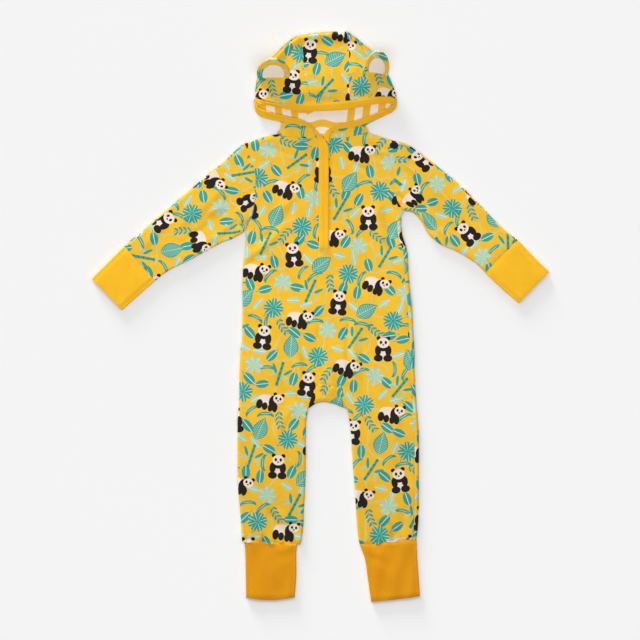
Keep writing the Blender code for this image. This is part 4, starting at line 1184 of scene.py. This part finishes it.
def hood_middle(columns=36, behind=26):
    """Middle panel: up the front between the two seams, over the crown and down the back."""
    t = stations(len(HOOD_RIGHT))[::-1]
    up = (1 - t / t[0])[:, None]
    share = np.linspace(0, 1, columns)
    right = along(inner(HOOD_RIGHT), t) + (GAP / 2, 0)
    left = along(inner(HOOD_LEFT), t) - (GAP / 2, 0)
    line = right[:, None] * (1 - share[:, None]) + left[:, None] * share[:, None]
    inside = np.sin(np.pi * share)
    reach = inside + (1 - inside) * np.maximum(ease(1 - up / 0.1), ease(1 - (1 - up) / 0.1))
    low = np.interp(line[..., 0], LIP[:, 0], LIP[:, 1])
    line[..., 1] += (1 - up) ** 2 * reach * (low - line[..., 1])
    crown = polyline(CROWN, share)[:, 1] - FOLD
    line[..., 1] += up**3 * reach * (crown - line[..., 1])
    z = hood_z(line[..., 0], line[..., 1])
    z[-1] = FRONT_Z
    top = line[-1]
    over_y = top[:, 1] + FOLD * np.sin(ROLL)[:, None]
    down = np.linspace(0, 1, behind)[:, None]
    neck = np.linspace(CENTRE_BACK_RIGHT + GAP / 2, CENTRE_BACK_LEFT - GAP / 2, columns)
    back_x = top[:, 0] * (1 - down) + neck * down
    back_y = top[:, 1] * (1 - down) + (BACK_NECK_Y + GAP) * down
    x = np.concatenate([line[..., 0], np.broadcast_to(top[:, 0], over_y.shape), back_x])
    y = np.concatenate([line[..., 1], over_y, back_y])
    z = np.concatenate([
        z, np.broadcast_to((FOLD_Z + FOLD * np.cos(ROLL))[:, None], over_y.shape),
        np.full(back_y.shape, BACK_Z),
    ])
    v = np.concatenate([
        line[..., 1], top[:, 1] + FOLD * ROLL[:, None], 2 * top[:, 1] + math.pi * FOLD - back_y,
    ])
    return np.stack([x, y, z], axis=-1), np.stack([x, v], axis=-1)


for name, *rest in (
    ("hood_right", HOOD_RIGHT, HOOD_RIGHT_LOW, HOOD_NECK_RIGHT, THROAT_RIGHT, CENTRE_BACK_RIGHT, -1),
    ("hood_left", HOOD_LEFT, HOOD_LEFT_LOW, HOOD_NECK_LEFT, THROAT_LEFT, CENTRE_BACK_LEFT, 1),
):
    grid, map_mm, keep, cut = hood_side(*rest)
    sew(name, "panel", grid, map_mm, WALL, PRINT, keep=keep, cut=cut)
sew("hood_centre", "panel", *hood_middle(), WALL, PRINT)

# %% [markdown]
# ## Striped lining
# The hood is lined with a cream and yellow stripe. The lining is cut in the same three panels,
# with the stripe running across the middle one and up the sides, so the stripes turn a corner
# at each seam. Only the part that shows in the opening is made.

# %% Lining
LINING_SEAMS = (-31.6, 43.6)
STRIPE_PITCH = 26.0


def striped(cloth_mm):
    """Cream where fract(distance / pitch) is under the stripe's share: level stripes that bow
    by a cosine on the middle panel, and stripes aslant on the two side panels. Below y = 291.5
    the middle is left yellow as painted shade at the bottom of the V."""
    x, y, _ = parts(cloth_mm)
    middle = (x > LINING_SEAMS[0] + 11) * (x < LINING_SEAMS[1] - 11)
    dip = ((x - 4.2) * (2 * math.pi / 46)).math("COSINE") * 2.4
    level = (y - 311.8) - dip
    fill = x.math("MULTIPLY_ADD", 0.012, 0.72).math("MAXIMUM", 0.47).math("MINIMUM", 0.80)
    fill = (fill - 0.55) * (y > 310.0) + 0.55
    across = level.math("MULTIPLY", 1 / STRIPE_PITCH).math("FRACT") < fill
    slant = y.math("MULTIPLY_ADD", -0.12, 39.0)
    right = ((x + slant) - 32.3).math("MULTIPLY", 1 / 24.0).math("FRACT") < 0.5
    left = ((x - slant) + 84.7).math("MULTIPLY", 1 / 25.0).math("FRACT") < 0.55
    beside = (right * (x > 4.0) + left * (x < 4.0)) * (y > 310.2)
    beside = beside * ((y < 324.4).math("MAXIMUM", (x < -37.0).math("MAXIMUM", x > 4.0)))
    # Painted shade: below y = 291.5, at the bottom of the V under the binding, the lining has no cream,
    # to stand for the shadow there.
    across = across * (y > 291.5)
    cream = across * middle + beside * middle.math("MULTIPLY_ADD", -1.0, 1.0)
    mixed = Number.tree.nodes.new("ShaderNodeMix")
    mixed.data_type = "RGBA"
    Number.tree.links.new(cream.socket, mixed.inputs["Factor"])
    mixed.inputs["A"].default_value = (0.955, 0.52, 0.030, 1)
    mixed.inputs["B"].default_value = (0.990, 0.865, 0.725, 1)
    return Number(mixed.outputs["Result"])


STRIPE = fabric("stripe_knit_finish", 0.85, 0.10, 0.12, striped)
t = stations(len(LINING))
rows = along(LINING, t)[:, None]
up = np.linspace(0, 1, 18)[:, None]
plan = rows[..., :2] * (1 - up) + rows[..., 2:4] * up
x, y = plan[..., 0], plan[..., 1]
rise = BACK_Z + WALL / 2 + GAP + LINING_WALL / 2 + rows[..., 4]
z = rise + 3.6 + 0.3 * np.sin(x / 9 + 1.5 * np.sin(y / 14))
for seam_x in LINING_SEAMS:
    ridge = 2.2 * np.exp(-(((x - seam_x + (y - 312) * 0.15) / 4.5) ** 2))
    z = z + ridge - 0.8 * np.exp(-(((x - seam_x) / 1.2) ** 2))
z = z - 0.5 * np.exp(-(((x - 3.2) / 1.2) ** 2))
grid = np.stack([x, y, np.maximum(z, rise)], axis=-1)
sew("hood_lining", "sheet", grid, plan, LINING_WALL, STRIPE)

# %% [markdown]
# ## Binding and placket
# One strip of rib, folded double, is sewn up the placket, round the whole face opening and back
# to the throat. It lies on the chest as a placket, stands up round the face, and covers the raw
# edge of the hood. Twin needles leave two rows of stitches along its middle.

# %% Binding
# Across the strip: (share of its width, wall there as a share of the strip's).
ACROSS, SOFT_EDGE = np.array([
    (0, 0.5), (0.025, 0.75), (0.07, 0.88), (0.14, 1.0), (0.26, 1.06), (0.37, 1.0), (0.42, 0.84),
    (0.5, 0.93), (0.58, 0.84), (0.63, 1.0), (0.74, 1.06), (0.86, 1.0), (0.93, 0.88), (0.975, 0.62),
    (1, 0.3),
]).T
STRIP_WIDTH = 15
PLACKET_ROWS = 7          # stations that lie on the chest
LIP_DROP = 3.4            # how far the hood's lip curls down at its free edge


def on_chest(x, y):
    return front_z(x, y) + WALL / 2 + GAP + BINDING_WALL / 2


def on_lip(x, y):
    return hood_z(x, y) - 0.4


def swell(t):
    """How far the strip's middle bows up: 0.25 mm and a wave of 0.22 mm along it."""
    return 0.25 + 0.22 * np.sin(t * 2.9 + 0.8 * np.sin(t * 1.7))


def binding_surface(t, across):
    """P(t, u) of the strip's middle: on the chest, free round the face, on the hood's lip."""
    table = np.array(BINDING, float)
    kinds = np.zeros((len(table), 2))
    kinds[:PLACKET_ROWS + 1, 0] = 1
    kinds[LIP_FIRST:LIP_LAST + 1, 1] = 1
    for a in (0, 3):
        x, y = table[:, a], table[:, a + 1]
        above = np.where(kinds[:, 1] > 0, on_lip(x, y), table[:, a + 2])
        table[:, a + 2] = np.where(kinds[:, 0] > 0, on_chest(x, y), above)
    rows = along(table, t)[:, None]
    share = across[:, None]
    spot = rows[..., :3] * (1 - share) + rows[..., 3:] * share
    reach = rows[..., :2] - rows[..., 3:5]
    reach = reach / np.linalg.norm(reach, axis=-1, keepdims=True)
    spot[..., :2] += 0.9 * (1 - share) ** 4 * reach
    x, y = spot[..., 0], spot[..., 1]
    station = np.arange(len(table))
    weight = np.stack([np.interp(t, station, kinds[:, k]) for k in range(2)], axis=1)[:, None]
    free = 1 - weight.sum(-1)
    drop = LIP_DROP * weight[..., 1] * np.broadcast_to(across, x.shape) ** 1.15
    laid = weight[..., 0] * on_chest(x, y) + weight[..., 1] * on_lip(x, y)
    spot[..., 2] = laid + free * spot[..., 2] - drop
    return spot


t = stations(len(BINDING))
grid = binding_surface(t, ACROSS)
grid[..., 2] += swell(t)[:, None] * np.sin(np.pi * ACROSS)
length = run_length(grid[:, len(ACROSS) // 2])
map_mm = np.stack(np.broadcast_arrays(ACROSS * STRIP_WIDTH, length[:, None]), axis=-1)
sew("binding", "strip", grid, map_mm, BINDING_WALL * SOFT_EDGE, RIB)
print("binding is", round(float(length[-1])), "mm long")

# %% [markdown]
# ## Stitches
# Stitches are threads, so each is a short round bead sunk a little in the strip. They are one
# mesh, worked out for all the stitches at once from the spot, run and normal of each.

# %% Stitches
THREAD = 0.34
STITCH, STEP = 2.5, 3.1


def stitch_row(share, first, last):
    """Spots, runs and normals every STEP along the binding at a share of its width."""
    fine = np.linspace(first, last, 2400)
    path = binding_surface(fine, np.array([share]))[:, 0]
    side = binding_surface(fine, np.array([share + 0.1]))[:, 0] - path
    path[:, 2] += swell(fine) * math.sin(math.pi * share)
    run = np.gradient(path, axis=0)
    run /= np.linalg.norm(run, axis=1, keepdims=True)
    normal = np.cross(side, run)
    normal *= np.sign(normal[:, 2:3])
    normal /= np.linalg.norm(normal, axis=1, keepdims=True)
    far = run_length(path)
    wanted = np.arange(STEP / 2, far[-1], STEP)
    return [
        np.stack([np.interp(wanted, far, values[:, k]) for k in range(3)], axis=1)
        for values in (path, run, normal)
    ]


def beads(name, spots, runs, up, finish, sides=6):
    """Capsules: C + T s L / 2 + r(s) (N cos a + B sin a) for every stitch at once."""
    s = np.array([-1, -0.82, 0.82, 1.0])
    r = THREAD * np.array([0.35, 1, 1, 0.35])
    angle = np.arange(sides) * 2 * math.pi / sides
    aside = np.cross(up, runs)
    ring = up[:, None, None] * np.cos(angle)[:, None] + aside[:, None, None] * np.sin(angle)[:, None]
    ahead = runs[:, None, None] * (s * STITCH / 2)[:, None, None]
    points = spots[:, None, None] + ahead + ring * r[:, None, None]
    k = np.arange(len(spots) * 4 * sides).reshape(len(spots), 4, sides)
    nxt = np.roll(k, -1, axis=2)
    walls = np.stack([k[:, :-1], nxt[:, :-1], nxt[:, 1:], k[:, 1:]], axis=-1).reshape(-1, 4)
    caps = np.concatenate([k[:, 0, ::-1], k[:, -1]])
    points = (points.reshape(-1, 3) - (CENTRE_X, CENTRE_Y, 0)) / 1000
    mesh = bpy.data.meshes.new(name)
    mesh.from_pydata(points.tolist(), [], walls.tolist() + caps.tolist())
    if np.linalg.det(points[walls[:, :3]]).sum() < 0:
        mesh.flip_normals()
    mesh.materials.append(finish)
    print(name, len(spots), "stitches")
    return placed(name, mesh)


def thread(name, colour):
    """Spun thread: a plain dye, painted a little lighter and darker in fine bands across it as shade of
    its twist.
    """
    made, shader = material(name, {"Roughness": 0.6})
    place = made.node_tree.nodes.new("ShaderNodeTexCoord")
    spot = vector("MULTIPLY", Number(place.outputs["Object"]), (3500, 3500, 3500))
    x, y, _ = parts(spot)
    # Painted shade: fine bands across the thread, up to 8% lighter or darker, stand for light on its
    # twisted plies.
    twist_shade = (x + y).math("SINE")
    dye = vector("SCALE", plain(colour)(spot), None, None, twist_shade.math("MULTIPLY_ADD", 0.08, 0.94))
    made.node_tree.links.new(dye.socket, shader.inputs["Base Color"])
    return made


THREAD_FINISH = thread("golden_thread", (0.90, 0.44, 0.022))
rows = [stitch_row(share, 0.05, len(BINDING) - 1.1) for share in (0.40, 0.60)]
spots, runs, up = (np.concatenate(part) for part in zip(*rows))
stitches = beads("binding_stitches", spots + up * (BINDING_WALL * 0.42), runs, up, THREAD_FINISH)

# %% [markdown]
# ## Ears
# Each ear is two layers of knit sewn round the edge and turned out, so it is thick and soft
# with a rounded rim. It stands on the hood and leans back, and its front carries a patch of
# cream knit inside the printed rim.

# %% Ears
def to_edge(rows, columns):
    """How near a point of the ear is to its edge: the larger of |u| and v, 1 at the edge."""
    return np.maximum(np.abs(np.linspace(-1, 1, columns)), np.linspace(0, 1, rows)[:, None])


def ear_surface(ear, rows, columns, scale=1.0, ahead=0.0, start=0.0):
    """P(u, v): across by the outline's half width, up the leaning ear, cupped by 2.4 (u / w)^2."""
    base_x, base_y, turn, half, tall, lean = ear
    turn, lean = math.radians(turn), math.radians(lean)
    right = np.array([math.cos(turn), math.sin(turn)])
    ahead_2d = np.array([-math.sin(turn), math.cos(turn)])
    table = np.array(EAR_ROWS + [(1.012, 0.06)], float)
    height, width = along(table, np.linspace(0, len(table) - 1, rows)).T
    v = (tall * (start + scale * height))[:, None]
    u = np.linspace(-1, 1, columns) * half * width[:, None] * scale
    cup = -2.4 * (u / half) ** 2
    foot = np.array([base_x, base_y]) + u[..., None] * right
    ground = hood_z(foot[..., 0], foot[..., 1]) + 0.7 + GAP + EAR_WALL / 2 * math.cos(lean)
    bow = 3.0 * np.sin(np.pi * np.minimum(1, v / tall) / 2)
    flat = foot + (v * math.cos(lean) + (cup - ahead) * math.sin(lean))[..., None] * ahead_2d
    z = ground + v * math.sin(lean) - (cup - ahead) * math.cos(lean) + bow
    return np.concatenate([flat, z[..., None]], axis=-1), np.stack(np.broadcast_arrays(u, v), axis=-1)


for name, ear in (("right", EAR_RIGHT), ("left", EAR_LEFT)):
    edge = to_edge(30, 29)
    roll = 1 + 0.9 * np.exp(-(((edge - 0.84) / 0.11) ** 2))
    puff = roll * np.sqrt(np.clip(1.02 - edge**10, 0.02, 1))
    sew(f"ear_{name}", "cloth", *ear_surface(ear, 30, 29), EAR_WALL * puff, PRINT)
    grid, map_mm = ear_surface(ear, 22, 21, 0.66, EAR_WALL / 2 + GAP + 0.6, 0.03)
    thin = np.sqrt(np.clip(1.03 - to_edge(22, 21) ** 8, 0.1, 1))
    sew(f"ear_inner_{name}", "patch", grid, map_mm, WALL * thin, CREAM_KNIT)

# %% [markdown]
# ## What each piece stands for
# Every piece rides on the one rigid body and takes the place of the plain solid of the same
# panel. Each piece of cloth has a cut in a table, with a size and area taken from the pieces
# made here and not from a real cut. Each size is printed beside what its map spans now:
# hood_left, the binding and the ears differ from theirs by more than a millimetre.

# %% Pieces and sheets
# The cut of each sheet: width and length in mm, area in square cm, and what it lies on.
CUTS = {
    "back_right": (131, 662, 744, []), "back_left": (170, 663, 876, []),
    "front_right": (131, 655, 743, ["back_right"]), "front_left": (156, 659, 800, ["back_left"]),
    "gusset": (63, 79, 32.5, ["front_right", "front_left"]),
    "sleeve_right": (271, 252, 425, []), "sleeve_left": (223, 245, 371, []),
    "sleeve_cuff_right": (148, 73, 107, []), "sleeve_cuff_left": (148, 73, 107, []),
    "leg_cuff_right": (170, 95, 151, []), "leg_cuff_left": (183, 96, 159, []),
    "hood_right": (200, 163, 174, []), "hood_left": (211, 168, 167, []),
    "hood_centre": (84, 275, 199, ["hood_lining"]),
    "hood_lining": (212, 65, 94, ["hood_right", "hood_left", "hood_centre"]),
    "binding": (15, 652, 87, ["front_right", "front_left", "hood_centre"]),
    "ear_right": (56, 40, 20.3, ["hood_right"]), "ear_left": (42, 40, 15.2, ["hood_left"]),
    "ear_inner_right": (35, 25, 8.4, ["ear_right"]), "ear_inner_left": (26, 25, 6.2, ["ear_left"]),
}
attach(stitches, "root")
for piece, node_name, map_mm in SHEETS:
    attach(piece, "root")
    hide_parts(node_name)
    width, length, area, below = CUTS[node_name]
    held_with = [stitches] if node_name == "binding" else []
    print(node_name, "cut", width, "x", length, "mm, map", np.ptp(map_mm, axis=(0, 1)).round().tolist())

# %% [markdown]
# ## Light and camera
# Cloth on white is lit by a softbox over the chest and a broad key sun from the upper left. A
# low raking sun shows creases that are only a millimetre or two high. The paper glows by what
# the lamps leave it short of, which a real sheet of paper doesn't do, so the floor is one even
# white. The camera looks straight down, with a long lens so that the sides of the suit stay
# hidden.

# %% Stage
mesh = bpy.data.meshes.new("floor")
corners = [(-6, -6, -0.0004), (6, -6, -0.0004), (6, 6, -0.0004), (-6, 6, -0.0004)]
mesh.from_pydata(corners, [], [(0, 1, 2, 3)])
floor = placed("floor", mesh)
PAPER = 0.78                # the paper's own lightness
paper, sheet = material("pale_floor", {
    "Base Color": (PAPER, PAPER, PAPER, 1), "Emission Color": (1, 1, 1, 1),
    "Roughness": 0.9, "Specular IOR Level": 0.1,
})
LAMP = (-0.06, 0.09, 0.85)
EVEN, SOFT = 1.43, 1.87     # light on the floor from the other lights, and under the softbox
WHITE = 0.905               # what the paper gives off everywhere, its glow included
place = paper.node_tree.nodes.new("ShaderNodeTexCoord")
SPREAD = (0.56, 0.88)       # the floor's light fades as if x and y were this share of themselves
middle = (-LAMP[0] * SPREAD[0], -LAMP[1] * SPREAD[1], 0)
foot = vector("MULTIPLY_ADD", Number(place.outputs["Object"]), (*SPREAD, 0), middle)
away = vector("LENGTH", foot, output=1).math("MINIMUM", 1.0)
share = (away * away + LAMP[2] ** 2).math("POWER", -2.0) * LAMP[2] ** 4
light = share.math("MULTIPLY_ADD", SOFT, EVEN)
glow = light.math("MULTIPLY_ADD", -PAPER / math.pi, WHITE).math("MAXIMUM", 0.0)
paper.node_tree.links.new(glow.socket, sheet.inputs["Emission Strength"])
mesh.materials.append(paper)

world = bpy.data.worlds.new("studio")
world.use_nodes = True
world.node_tree.nodes["Background"].inputs["Color"].default_value = (1, 1, 1, 1)
world.node_tree.nodes["Background"].inputs["Strength"].default_value = 0.22
bpy.context.scene.world = world


def lamp(name, kind, energy, place, toward):
    """A light at a place, turned to look along a direction."""
    data = bpy.data.lights.new(name, kind)
    data.energy = energy
    made = placed(name, data)
    made.location = place
    made.rotation_euler = Vector(toward).to_track_quat("-Z", "Y").to_euler()
    return data


softbox = lamp("softbox", "AREA", 6.44, LAMP, (0, 0, -1))
softbox.shape = "RECTANGLE"
softbox.size, softbox.size_y = 1.5, 0.5
key = lamp("key", "SUN", 0.45, (-1, 2, 2), (0.36, -0.76, -0.54))
key.angle = math.radians(30)
rake = lamp("rake", "SUN", 3.4, (-1, 3, 0.6), (0.40, -1, -0.16))
rake.angle = math.radians(16)
bpy.context.scene.view_settings.view_transform = "Standard"

FIELD = 1.024             # width of the floor in view
lens = bpy.data.cameras.new("above")
lens.clip_end = 50
lens.sensor_width = 36
lens.lens = 240
camera = placed("above", lens)
camera.location = (-0.0006, -0.0053, FIELD * lens.lens / lens.sensor_width)
camera.rotation_euler = (0, 0, 0)
bpy.context.scene.camera = camera
print("camera height", round(camera.location.z, 3), "m")
